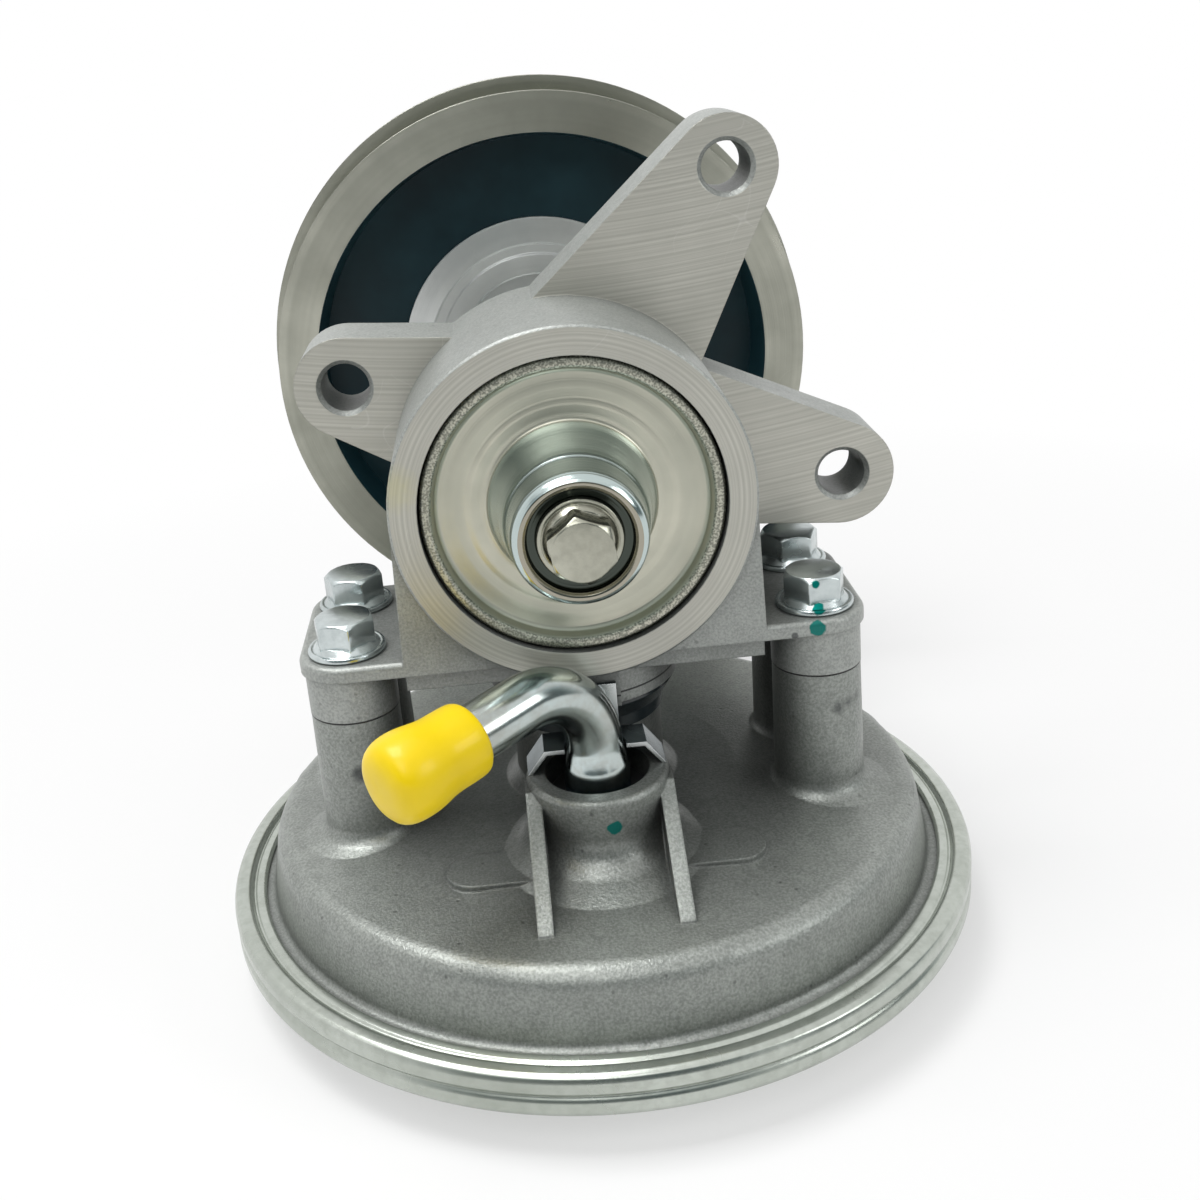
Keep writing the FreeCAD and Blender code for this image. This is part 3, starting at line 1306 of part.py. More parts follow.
def make_pulley():
    """The turned hub pressed on the shaft, and the rim with its web and belt grooves."""
    hub = new_body("pulley_hub", z="shaft_height")
    face = "pulley_hub_front"
    section = Outline(hub, "section", "YZ_Plane")
    section.polygon(
        ("boss_front", "shaft_radius + seat_gap"),
        ("boss_front", "boss_radius - boss_chamfer"),
        (face + " - web_setback", "boss_radius"),
        (face + " + hub_ring_step", "boss_radius + web_setback"),
        (face + " + hub_ring_step", "hub_ring_inner"),
        (face, "hub_ring_inner + hub_ring_slope"),
        (face, "hub_ring_outer - hub_ring_band"),
        (face + " + hub_ring_step / 2", "hub_ring_outer - hub_ring_band + hub_ring_slope"),
        (face + " + hub_ring_step / 2", "hub_ring_outer"),
        (face, "hub_ring_outer + hub_ring_slope"),
        (face + " + hub_ring_slope", "pulley_hub_radius"),
        ("pulley_hub_back", "pulley_hub_radius"),
        ("pulley_hub_back", "boss_radius"),
        ("puller_groove_at", "boss_radius"),
        ("puller_groove_at", "boss_radius - puller_groove_depth"),
        ("puller_groove_at + puller_groove_width", "boss_radius - puller_groove_depth"),
        ("puller_groove_at + puller_groove_width", "boss_radius"),
        ("boss_rear - boss_chamfer", "boss_radius"),
        ("boss_rear", "boss_radius - boss_chamfer"),
        ("boss_rear", "shaft_radius + seat_gap"),
    )
    turn(section)

    rim = new_body("pulley_rim", z="shaft_height")
    section = Outline(rim, "section", "YZ_Plane")
    section.polygon(
        ("pulley_front", "recess_radius"),
        ("pulley_front", "front_flange_radius"),
        ("pulley_front + pulley_flange", "front_flange_radius"),
        ("pulley_front + pulley_flange", "belt_land_radius"),
        ("pulley_rear - pulley_flange", "belt_land_radius"),
        ("pulley_rear - pulley_flange", "rear_flange_radius"),
        ("pulley_rear", "rear_flange_radius"),
        ("pulley_rear", "recess_radius + recess_draft"),
        ("web_back", "recess_radius"),
        ("web_back", "pulley_hub_radius"),
        ("web_front", "pulley_hub_radius"),
        ("web_front", "recess_radius - recess_draft"),
    )
    turn(section)
    doc.recompute()
    groove = Outline(rim, "belt_groove", "YZ_Plane")
    first = "pulley_front + pulley_flange + belt_margin"
    groove.polygon(
        (first + " + groove_land / 2", "belt_land_radius"),
        (first + " + (groove_pitch - groove_root) / 2", "belt_land_radius - groove_depth"),
        (first + " + (groove_pitch + groove_root) / 2", "belt_land_radius - groove_depth"),
        (first + " + groove_pitch - groove_land / 2", "belt_land_radius"),
    )
    cutter = turned_cut(groove, name="BeltGroove")
    pattern = rim.newObject("PartDesign::LinearPattern", "pulley_rim_Grooves")
    pattern.Originals = [cutter]
    pattern.Direction = (groove.sketch, ["H_Axis"])
    bind(pattern, "Length", "groove_pitch * (groove_count - 1)")
    bind(pattern, "Occurrences", "groove_count")
    rim.Tip = pattern
    return [hub, rim]


def make_elbow():
    """The bent pipe in the port, and the cap on its end, both in a frame whose X is the pipe's heading."""
    elbow = new_body("inlet_elbow", y="port_y")
    bind(elbow, "Placement.Rotation.Angle", "pipe_heading - 90")
    bend_x = "pipe_bend_radius * (1 - cos(pipe_bend_angle))"
    bend_z = "pipe_bend_start + pipe_bend_radius * sin(pipe_bend_angle)"
    end_x = bend_x + " + pipe_run * sin(pipe_bend_angle)"
    end_z = bend_z + " + pipe_run * cos(pipe_bend_angle)"

    route = Outline(elbow, "route", "XZ_Plane")
    riser = route.line(("0", "pipe_bottom"), ("0", "pipe_bend_start"))
    route.hold(riser, 1, "0", "pipe_bottom")
    route.hold(riser, 2, "0", "pipe_bend_start")
    turned = math.radians(number("pipe_bend_angle"))
    bend = route.arc("pipe_bend_radius", "pipe_bend_start", "pipe_bend_radius", math.pi - turned, math.pi,
                     held=False)
    run = route.line((bend_x, bend_z), (end_x, end_z))
    route.sketch.addConstraint(Sketcher.Constraint("Tangent", riser, 2, bend, 2))
    route.sketch.addConstraint(Sketcher.Constraint("Tangent", bend, 1, run, 1))
    route.hold(run, 2, end_x, end_z)
    ring = Outline(elbow, "ring", "XY_Plane", lift="pipe_bottom")
    ring.circle("0", "0", "pipe_radius")
    ring.circle("0", "0", "pipe_radius - pipe_wall")
    doc.recompute()
    pipe = elbow.newObject("PartDesign::AdditivePipe", "inlet_elbow_Pipe")
    pipe.Profile = ring.sketch
    pipe.Spine = (route.sketch, ["Edge1", "Edge2", "Edge3"])
    doc.recompute()
    collar = Outline(elbow, "collar", "XZ_Plane")
    collar.polygon(
        ("pipe_radius - pipe_wall / 2", "pipe_collar_bottom"),
        ("pipe_radius + pipe_collar_wall / 2", "pipe_collar_bottom"),
        ("pipe_collar_radius", "pipe_collar_bottom + pipe_collar_wall"),
        ("pipe_collar_radius", "pipe_collar_top - pipe_collar_wall"),
        ("pipe_radius - pipe_wall / 2", "pipe_collar_top"),
    )
    turn(collar, "V_Axis", "Collar")

    cap = new_body("elbow_cap", y="port_y")
    bind(cap, "Placement.Rotation.Angle", "pipe_heading - 90")
    section = Outline(cap, "section", "XZ_Plane", across=bend_x, along=bend_z)
    bind(section.sketch, "AttachmentOffset.Rotation.Angle", "90 - pipe_bend_angle")
    inner = "pipe_radius + seat_gap"
    waist = "cap_start + cap_waist_at"
    end = "cap_start + cap_length"
    section.polygon(
        ("cap_start", inner),
        ("cap_start", "pipe_radius + cap_mouth_wall / 2"),
        ("cap_start + cap_mouth_wall / 2", "pipe_radius + cap_mouth_wall"),
        (waist + " - cap_mouth_wall", "pipe_radius + cap_mouth_wall"),
        (waist, "pipe_radius + cap_waist_wall"),
        (waist + " + cap_mouth_wall", "pipe_radius + cap_mouth_wall"),
        (waist + " + 2 * cap_mouth_wall", "pipe_radius + cap_bulb_wall"),
        (end, "pipe_radius + cap_bulb_wall"),
        (end, "0"),
        (end + " - cap_end_wall", "0"),
        (end + " - 2 * cap_end_wall", inner),
    )
    turn(section)
    doc.recompute()
    radius = number("pipe_radius + cap_bulb_wall")
    reach = number("cap_start + cap_length")
    origin = V(number(bend_x), 0, number(bend_z))
    angle = math.radians(number("pipe_bend_angle"))
    along = V(math.sin(angle), 0, math.cos(angle))

    def at_end(edge):
        return (isinstance(edge.Curve, Part.Circle) and abs(edge.Curve.Radius - radius) < 0.01
                and abs((edge.Curve.Center - origin).dot(along) - reach) < 0.05)
    finish_edges(cap, "Fillet", "cap_end_round", at_end, "EndRound")
    return [elbow, cap]


def make_port_parts():
    """What sits round the port and the rod: seal, retainer and screw, boot and the two valves."""
    seal = new_body("port_seal", y="port_y")
    section = Outline(seal, "section", "XZ_Plane")
    section.polygon(
        ("pipe_collar_radius + seat_gap", "pipe_collar_bottom"),
        ("pipe_collar_radius + seat_gap", "port_seat + port_seal_height"),
        ("port_mouth_radius - port_seal_chamfer", "port_seat + port_seal_height"),
        ("port_mouth_radius - seat_gap", "port_seat + port_seal_height - port_seal_chamfer"),
        ("port_mouth_radius - seat_gap", "port_seat"),
        ("pipe_radius + pipe_collar_wall / 2", "port_seat"),
        ("pipe_radius + pipe_collar_wall / 2", "pipe_collar_bottom - 2 * seat_gap"),
    )
    turn(section, "V_Axis")

    clip = new_body("elbow_retainer")
    foot = "port_rim + seat_gap"
    bridge = Outline(clip, "bridge", "XZ_Plane", lift="-clip_front")
    bridge.polygon(
        ("-clip_half_width", foot),
        ("clip_sheet - clip_half_width", foot),
        ("-clip_flat_half_width", "clip_level"),
        ("clip_flat_half_width", "clip_level"),
        ("clip_half_width - clip_sheet", foot),
        ("clip_half_width", foot),
        ("clip_flat_half_width + clip_sheet / 2", "clip_top"),
        ("-clip_flat_half_width - clip_sheet / 2", "clip_top"),
    )
    pad(bridge, "clip_rear - clip_front", "Bridge", backwards=True)
    tongue = Outline(clip, "tongue", "YZ_Plane")
    tongue.polygon(
        ("clip_rear - bite", "clip_level"),
        ("tongue_back", "clip_level"),
        ("tongue_back", "tongue_top"),
        ("tongue_front", "tongue_top"),
        ("tongue_front", "clip_top"),
        ("clip_rear - bite", "clip_top"),
    )
    pad(tongue, "2 * tongue_half_width", "Tongue", both_ways=True)
    reach = "pipe_radius + clip_gap"
    round_end = Outline(clip, "fork_end", "XY_Plane", lift="clip_top")
    round_end.circle("0", "port_y", reach)
    cut(round_end, "clip_sheet", "ForkEnd")
    fork = Outline(clip, "fork", "XY_Plane", lift="clip_top")
    fork.polygon(
        ("-(%s)" % reach, "clip_front - bite"),
        (reach, "clip_front - bite"),
        (reach, "port_y"),
        ("-(%s)" % reach, "port_y"),
    )
    cut(fork, "clip_sheet", "Fork")
    hole = Outline(clip, "hole", "XZ_Plane", lift="-tongue_front")
    hole.circle("0", "screw_level", "screw_radius + bolt_hole_gap")
    cut(hole, "clip_sheet", "Hole")

    screw = new_body("retainer_screw", z="screw_level")
    section = Outline(screw, "section", "YZ_Plane")
    section.polygon(
        ("tongue_front - screw_head_height", "0"),
        ("tongue_front - screw_head_height", "screw_head_radius - screw_head_height / 2"),
        ("tongue_front - screw_head_height / 2", "screw_head_radius"),
        ("tongue_front", "screw_head_radius"),
        ("tongue_front", "screw_radius"),
        ("tongue_back + screw_length - bite", "screw_radius"),
        ("tongue_back + screw_length - bite", "0"),
    )
    turn(section)

    boot = new_body("rod_boot")
    base = "dome_boss_top"
    inside = "spigot_radius + seat_gap"
    section = Outline(boot, "section", "XZ_Plane")
    section.polygon(
        (inside, base),
        ("spigot_radius + boot_wall", base),
        ("spigot_radius + boot_wall + boot_tuck", base + " + spigot_height"),
        ("boot_top_radius", "neck_bottom - boot_wall / 2"),
        ("boot_top_radius", "neck_bottom"),
        ("boot_top_radius - boot_wall", "neck_bottom"),
        ("boot_top_radius - boot_wall", "neck_bottom - boot_wall / 2"),
        (inside, base + " + spigot_height + boot_tuck"),
    )
    turn(section, "V_Axis")

    inlet_valve = new_body("inlet_valve", y="port_y")
    floor_under = "valve_floor - valve_floor_thickness"
    section = Outline(inlet_valve, "section", "XZ_Plane")
    section.polygon(
        ("0", floor_under + " - valve_disc_thickness"),
        ("valve_pocket_radius - valve_disc_gap", floor_under + " - valve_disc_thickness / 2"),
        ("valve_pocket_radius - valve_disc_gap", floor_under),
        ("valve_stem_radius", floor_under),
        ("valve_stem_radius", "valve_floor + valve_disc_thickness"),
        ("0", "valve_floor + 1.4 * valve_disc_thickness"),
    )
    turn(section, "V_Axis")
    outlet_valve = new_body("outlet_valve", y="-port_y")
    section = Outline(outlet_valve, "section", "XZ_Plane")
    section.polygon(
        ("0", "valve_floor + valve_disc_thickness"),
        ("port_bore_radius - valve_disc_gap", "valve_floor + valve_disc_thickness / 2"),
        ("port_bore_radius - valve_disc_gap", "valve_floor"),
        ("valve_stem_radius", "valve_floor"),
        ("valve_stem_radius", "chamber_ceiling + valve_stem_radius / 2"),
        ("0", "chamber_ceiling"),
    )
    turn(section, "V_Axis")
    return [seal, clip, screw, boot, inlet_valve, outlet_valve]


def check_document():
    """Stop if any object of the document failed."""
    for item in doc.Objects:
        if "Invalid" in item.State or "Error" in item.State:
            raise RuntimeError("object failed: %s %s" % (item.Name, item.State))


def write_parts(parts):
    """Check each part's shape and write it to its own file."""
    os.makedirs("parts", exist_ok=True)
    for item in parts:
        shape = item.Shape
        if shape.isNull() or not shape.isValid() or not shape.Solids:
            raise RuntimeError("bad shape: " + item.Label)
    for item in parts:
        item.Shape.exportStep(os.path.join("parts", item.Label + ".step"))
    print("wrote %d parts" % len(parts))


parts = [make_drive_housing(), make_dome_cover(), make_bottom_pan(), make_crimp_ring(), make_diaphragm()]
parts += make_plates()
parts += [make_connecting_rod()]
parts += make_eccentric_parts()
parts += [make_shaft()]
parts += make_bearings()
parts += [make_front_disc()]
parts += make_bolts()
parts += make_pulley()
parts += make_elbow()
parts += make_port_parts()
doc.recompute()
check_document()
write_parts(parts)
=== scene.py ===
"""Looks of a belt-driven engine vacuum pump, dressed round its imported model.

Each sub-assembly of the pump is a class that holds its own sizes, models what it adds and gives every
piece its finish: the cast housing and dome, the rolled rim, the disc and pulley on the shaft, the elbow
with its cap and clip, and the bolts.
"""

import logging
import math
from dataclasses import dataclass
from enum import Enum
from typing import Iterable, Sequence, Union

import bpy
from mathutils import Matrix, Vector


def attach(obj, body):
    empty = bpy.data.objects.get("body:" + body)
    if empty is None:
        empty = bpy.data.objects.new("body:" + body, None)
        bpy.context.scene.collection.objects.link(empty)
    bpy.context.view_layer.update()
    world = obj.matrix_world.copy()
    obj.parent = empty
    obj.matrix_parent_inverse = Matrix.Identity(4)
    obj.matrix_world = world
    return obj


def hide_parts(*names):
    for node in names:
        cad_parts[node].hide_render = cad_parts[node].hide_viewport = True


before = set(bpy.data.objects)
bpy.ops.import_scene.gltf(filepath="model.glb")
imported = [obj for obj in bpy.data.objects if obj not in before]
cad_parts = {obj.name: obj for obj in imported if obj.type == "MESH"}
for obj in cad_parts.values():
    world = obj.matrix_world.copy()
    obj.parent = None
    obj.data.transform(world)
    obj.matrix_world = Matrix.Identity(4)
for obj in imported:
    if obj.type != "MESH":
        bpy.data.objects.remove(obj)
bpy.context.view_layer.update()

log = logging.getLogger("vacuum_pump")
MM = 0.001
SHAFT_MM = 110.8
SHAFT_HEIGHT = SHAFT_MM * MM
CORNER_SAMPLES = 4
WHITE = (1.0, 1.0, 1.0)
Colour = tuple[float, float, float]
Point = tuple[float, float, float]
Span = tuple[float, float]
Socket = bpy.types.NodeSocket
Feed = Union[Socket, float, tuple[float, ...]]


def rgb(red: int, green: int, blue: int) -> Colour:
    """Turn a colour as seen on a screen into linear light.

    Args:
        red: the red level, from 0 to 255.
        green: the green level.
        blue: the blue level.

    Returns:
        The three linear levels.
    """
    levels = [c / 255.0 for c in (red, green, blue)]
    linear = [c / 12.92 if c <= 0.04045 else ((c + 0.055) / 1.055) ** 2.4 for c in levels]
    return (linear[0], linear[1], linear[2])


class Tree:
    """A node tree with short calls for the nodes that the finishes use."""

    def __init__(self, tree: bpy.types.NodeTree) -> None:
        """Keep the tree to work on."""
        self.tree = tree

    def add(self, kind: str, **settings: object) -> bpy.types.Node:
        """Add a node.

        Args:
            kind: the node's type name.
            settings: properties to set on it.

        Returns:
            The new node.
        """
        node = self.tree.nodes.new(kind)
        for name, value in settings.items():
            setattr(node, name, value)
        return node

    def feed(self, socket: Socket, value: Feed) -> None:
        """Link a socket to another, or set its own value.

        Args:
            socket: the input socket.
            value: an output socket, a number or a tuple.
        """
        if isinstance(value, bpy.types.NodeSocket):
            self.tree.links.new(value, socket)
        else:
            socket.default_value = value

    def fill(self, node: bpy.types.Node, **values: Feed) -> bpy.types.Node:
        """Feed a node's inputs by their names.

        Args:
            node: the node.
            values: what each input gets, by its name in lower case.

        Returns:
            The node.
        """
        for name, value in values.items():
            title = name.replace("_", " ")
            self.feed(next(socket for socket in node.inputs if socket.name.lower() == title), value)
        return node

    def math(self, operation: str, first: Feed, second: Feed = 0.0, clamp: bool = False) -> Socket:
        """Work out one number from two.

        Args:
            operation: the Math node's operation.
            first: the first number.
            second: the second number.
            clamp: whether the result is kept between 0 and 1.

        Returns:
            The result's socket.
        """
        node = self.add("ShaderNodeMath", operation=operation, use_clamp=clamp)
        self.feed(node.inputs[0], first)
        self.feed(node.inputs[1], second)
        return node.outputs[0]

    def remap(self, value: Feed, low: float, high: float, start: float = 0.0, end: float = 1.0) -> Socket:
        """Spread a value between two limits over a new range, and keep it there.

        Args:
            value: the value to spread.
            low: the value that becomes start.
            high: the value that becomes end.
            start: the new lower end.
            end: the new upper end.

        Returns:
            The result's socket.
        """
        node = self.add("ShaderNodeMapRange", clamp=True)
        self.fill(node, value=value, from_min=low, from_max=high, to_min=start, to_max=end)
        return node.outputs["Result"]

    def noise(self, vector: Feed, scale: Feed, detail: float = 2.0, roughness: float = 0.5) -> Socket:
        """Add a noise texture.

        Args:
            vector: the coordinates.
            scale: how many waves there are in a metre.
            detail: how many finer layers it has.
            roughness: how strong those are.

        Returns:
            The noise value's socket.
        """
        node = self.add("ShaderNodeTexNoise")
        self.fill(node, vector=vector, scale=scale, detail=detail, roughness=roughness)
        return node.outputs["Fac"]

    def mix(self, factor: Feed, first: Feed, second: Feed) -> Socket:
        """Mix two colours.

        Args:
            factor: how much of the second shows.
            first: the first colour.
            second: the second colour.

        Returns:
            The mixed colour's socket.
        """
        node = self.add("ShaderNodeMix", data_type="RGBA")
        self.feed(node.inputs[0], factor)
        for index, value in ((6, first), (7, second)):
            if isinstance(value, tuple) and len(value) == 3:
                value = (*value, 1.0)
            self.feed(node.inputs[index], value)
        return node.outputs[2]

    def between(self, factor: Feed, first: Feed, second: Feed) -> Socket:
        """Mix two numbers.

        Args:
            factor: how much of the second counts.
            first: the first number.
            second: the second number.

        Returns:
            The mixed number's socket.
        """
        node = self.add("ShaderNodeMix", data_type="FLOAT")
        self.feed(node.inputs[0], factor)
        self.feed(node.inputs[2], first)
        self.feed(node.inputs[3], second)
        return node.outputs[0]

    def place(self) -> Socket:
        """Return the place on the object, in metres."""
        return self.add("ShaderNodeTexCoord").outputs["Object"]

    def parts(self, vector: Feed) -> tuple[Socket, Socket, Socket]:
        """Split a vector into its three numbers.

        Args:
            vector: the vector.

        Returns:
            The sockets of its x, y and z.
        """
        node = self.add("ShaderNodeSeparateXYZ")
        self.feed(node.inputs[0], vector)
        return node.outputs[0], node.outputs[1], node.outputs[2]

    def span(self, first: Feed, second: Feed) -> Socket:
        """Work out the long side over two sides at right angles.

        Args:
            first: the first side.
            second: the second side.

        Returns:
            The long side's socket.
        """
        square = self.math("ADD", self.math("MULTIPLY", first, first), self.math("MULTIPLY", second, second))
        return self.math("SQRT", square)

    def off_axis(self, height: Feed = SHAFT_HEIGHT) -> Socket:
        """Measure how far a point lies from the shaft's axis.

        Args:
            height: the height of the axis, where it is another one along Y.

        Returns:
            The distance's socket.
        """
        x, _, z = self.parts(self.place())
        return self.span(x, self.math("SUBTRACT", z, height))

    def stretch(self, vector: Feed, scale: Point, turn: Point = (0.0, 0.0, 0.0)) -> Socket:
        """Scale and turn coordinates.

        Args:
            vector: the coordinates.
            scale: the factor along each axis.
            turn: the angles about each axis.

        Returns:
            The new coordinates.
        """
        node = self.fill(self.add("ShaderNodeMapping"), vector=vector, scale=scale, rotation=turn)
        return node.outputs["Vector"]

    def use(self, effect: "Effect", **values: Feed) -> bpy.types.Node:
        """Place a shared effect in this tree.

        Args:
            effect: the effect.
            values: its inputs, by their names in lower case.

        Returns:
            The group node.
        """
        return self.fill(self.add("ShaderNodeGroup", node_tree=effect.group()), **values)


def new_material(title: str) -> tuple[bpy.types.Material, Tree, bpy.types.Node]:
    """Make an empty material.

    Args:
        title: its name.

    Returns:
        The material, its tree and its shader.
    """
    material = bpy.data.materials.new(title)
    material.use_nodes = True
    return material, Tree(material.node_tree), material.node_tree.nodes["Principled BSDF"]


class Effect:
    """A surface effect that several finishes share, kept as one node group."""

    name = "effect"
    inputs: dict[str, Union[float, Point]] = {}
    outputs: tuple[str, ...] = ("Value",)

    def group(self) -> bpy.types.NodeTree:
        """Return the effect's node group, made the first time.

        Returns:
            The node group.
        """
        found = bpy.data.node_groups.get(self.name)
        if found:
            return found
        made = bpy.data.node_groups.new(self.name, "ShaderNodeTree")
        for title, value in self.inputs.items():
            kind = "NodeSocketVector" if isinstance(value, tuple) else "NodeSocketFloat"
            made.interface.new_socket(name=title, in_out="INPUT", socket_type=kind).default_value = value
        for title in self.outputs:
            made.interface.new_socket(name=title, in_out="OUTPUT", socket_type="NodeSocketFloat")
        tree = Tree(made)
        source = tree.add("NodeGroupInput")
        target = tree.add("NodeGroupOutput")
        results = self.wire(tree, {socket.name: socket for socket in source.outputs if socket.name})
        for title, result in zip(self.outputs, results):
            tree.feed(target.inputs[title], result)
        return made

    def wire(self, tree: Tree, given: dict[str, Socket]) -> Sequence[Socket]:
        """Build the effect's nodes.

        Args:
            tree: the group's tree.
            given: its input sockets by name.

        Returns:
            One socket for each output.
        """
        raise NotImplementedError


class CastGrain(Effect):
    """The pebbled skin of a sand- or shot-blasted casting, with small dark pits."""

    name = "cast_grain"
    inputs = {"Scale": 1700.0, "Pit Share": 0.3}
    outputs = ("Height", "Pits")
    # each layer's scale against the grain's, its roughness and its share of the height
    layers = ((1.0, 0.6, 0.85), (0.15, 0.5, 0.2))
    cell_scale = 0.22
    pit_edge = (0.06, 0.2)

    def wire(self, tree: Tree, given: dict[str, Socket]) -> Sequence[Socket]:
        """Build the grain from two layers of noise and the pits from scattered cells."""
        place = tree.place()
        layers = []
        for factor, rough, share in self.layers:
            layer = tree.noise(place, tree.math("MULTIPLY", given["Scale"], factor), 2.0, rough)
            layers.append(tree.math("MULTIPLY", layer, share))
        cell_scale = tree.math("MULTIPLY", given["Scale"], self.cell_scale)
        cells = tree.fill(tree.add("ShaderNodeTexVoronoi"), vector=place, scale=cell_scale)
        near = tree.remap(cells.outputs["Distance"], *self.pit_edge, 1.0, 0.0)
        lot = tree.fill(tree.add("ShaderNodeSeparateColor"), color=cells.outputs["Color"])
        chosen = tree.math("LESS_THAN", lot.outputs[0], given["Pit Share"])
        return tree.math("ADD", *layers), tree.math("MULTIPLY", near, chosen)


class TurningMarks(Effect):
    """The fine rings that a lathe leaves round the shaft's axis."""

    name = "turning_marks"
    inputs = {"Rings": 1500.0, "Centre Height": 0.0}
    outputs = ("Height", "Bands")
    # each layer's scale against the rings', and its detail
    layers = ((1.0, 3.0), (0.12, 2.0))

    def wire(self, tree: Tree, given: dict[str, Socket]) -> Sequence[Socket]:
        """Build two layers of rings, from a noise that changes away from the axis and along it."""
        _, y, _ = tree.parts(tree.place())
        radius = tree.math("ADD", tree.off_axis(given["Centre Height"]), y)
        results = []
        for factor, detail in self.layers:
            ring = tree.add("ShaderNodeTexNoise", noise_dimensions="1D")
            tree.fill(ring, w=radius, scale=tree.math("MULTIPLY", given["Rings"], factor), detail=detail)
            results.append(ring.outputs["Fac"])
        return results


class Blotches(Effect):
    """Slow changes of shade across a surface."""

    name = "blotches"
    inputs = {"Scale": 40.0}
    spread = (0.3, 0.7)

    def wire(self, tree: Tree, given: dict[str, Socket]) -> Sequence[Socket]:
        """Build one soft noise, spread to the full range."""
        noise = tree.noise(tree.place(), given["Scale"], 4.0, 0.6)
        return (tree.remap(noise, *self.spread),)


class HandlingMarks(Effect):
    """Thin bright lines from handling, in two directions."""

    name = "handling_marks"
    inputs = {"Scale": 90.0, "Share": 0.5}
    turns = ((0.3, 0.5, 0.9), (1.2, -0.4, -0.6))
    squeeze = (1.0, 0.03, 1.0)
    half_width = 0.004
    brightness = 0.45
    patch_scale = 0.5
    patch_from = 0.7
    patch_reach = 0.2

    def wire(self, tree: Tree, given: dict[str, Socket]) -> Sequence[Socket]:
        """Build each direction's lines from the narrow middle of a stretched noise."""
        place = tree.place()
        lines = []
        for turn in self.turns:
            wave = tree.noise(tree.stretch(place, self.squeeze, turn), given["Scale"], 0.0)
            middle = tree.math("ABSOLUTE", tree.math("SUBTRACT", wave, 0.5))
            line = tree.remap(middle, 0.0, self.half_width, self.brightness, 0.0)
            patch = tree.noise(place, tree.math("MULTIPLY", given["Scale"], self.patch_scale), 2.0)
            reach = tree.math("MULTIPLY", given["Share"], self.patch_reach)
            low = tree.math("SUBTRACT", self.patch_from, reach)
            lines.append(tree.math("MULTIPLY", line, tree.math("GREATER_THAN", patch, low)))
        return (tree.math("MAXIMUM", *lines),)


class Dab(Effect):
    """A ragged round patch, such as a dab of paint or a smudge."""

    name = "dab"
    inputs = {"Centre": (0.0, 0.0, 0.0), "Radius": 2.0 * MM, "Softness": 0.3 * MM, "Ragged": 0.3}
    stir_scale = 700.0

    def wire(self, tree: Tree, given: dict[str, Socket]) -> Sequence[Socket]:
        """Build the patch from the distance to its centre, stirred by a noise."""
        place = tree.place()
        gap = tree.add("ShaderNodeVectorMath", operation="DISTANCE")
        tree.feed(gap.inputs[0], place)
        tree.feed(gap.inputs[1], given["Centre"])
        wave = tree.math("SUBTRACT", tree.noise(place, self.stir_scale, 2.0), 0.5)
        stir = tree.math("MULTIPLY", tree.math("MULTIPLY", wave, given["Ragged"]), given["Radius"])
        reach = tree.math("ADD", gap.outputs["Value"], stir)
        share = tree.math("DIVIDE", tree.math("SUBTRACT", given["Radius"], reach), given["Softness"])
        return (tree.math("MULTIPLY", share, 1.0, clamp=True),)


@dataclass(frozen=True)
class Patch:
    """A dab of another colour on a finish."""

    centre_mm: Point
    radius_mm: float
    colour: Colour
    strength: float = 1.0
    softness_mm: float = 0.3
    ragged: float = 0.6
    shine: float = 0.4


@dataclass
class Surface:
    """The sockets that describe a surface: its colour, roughness and height."""

    colour: Feed
    roughness: Feed
    height: Socket


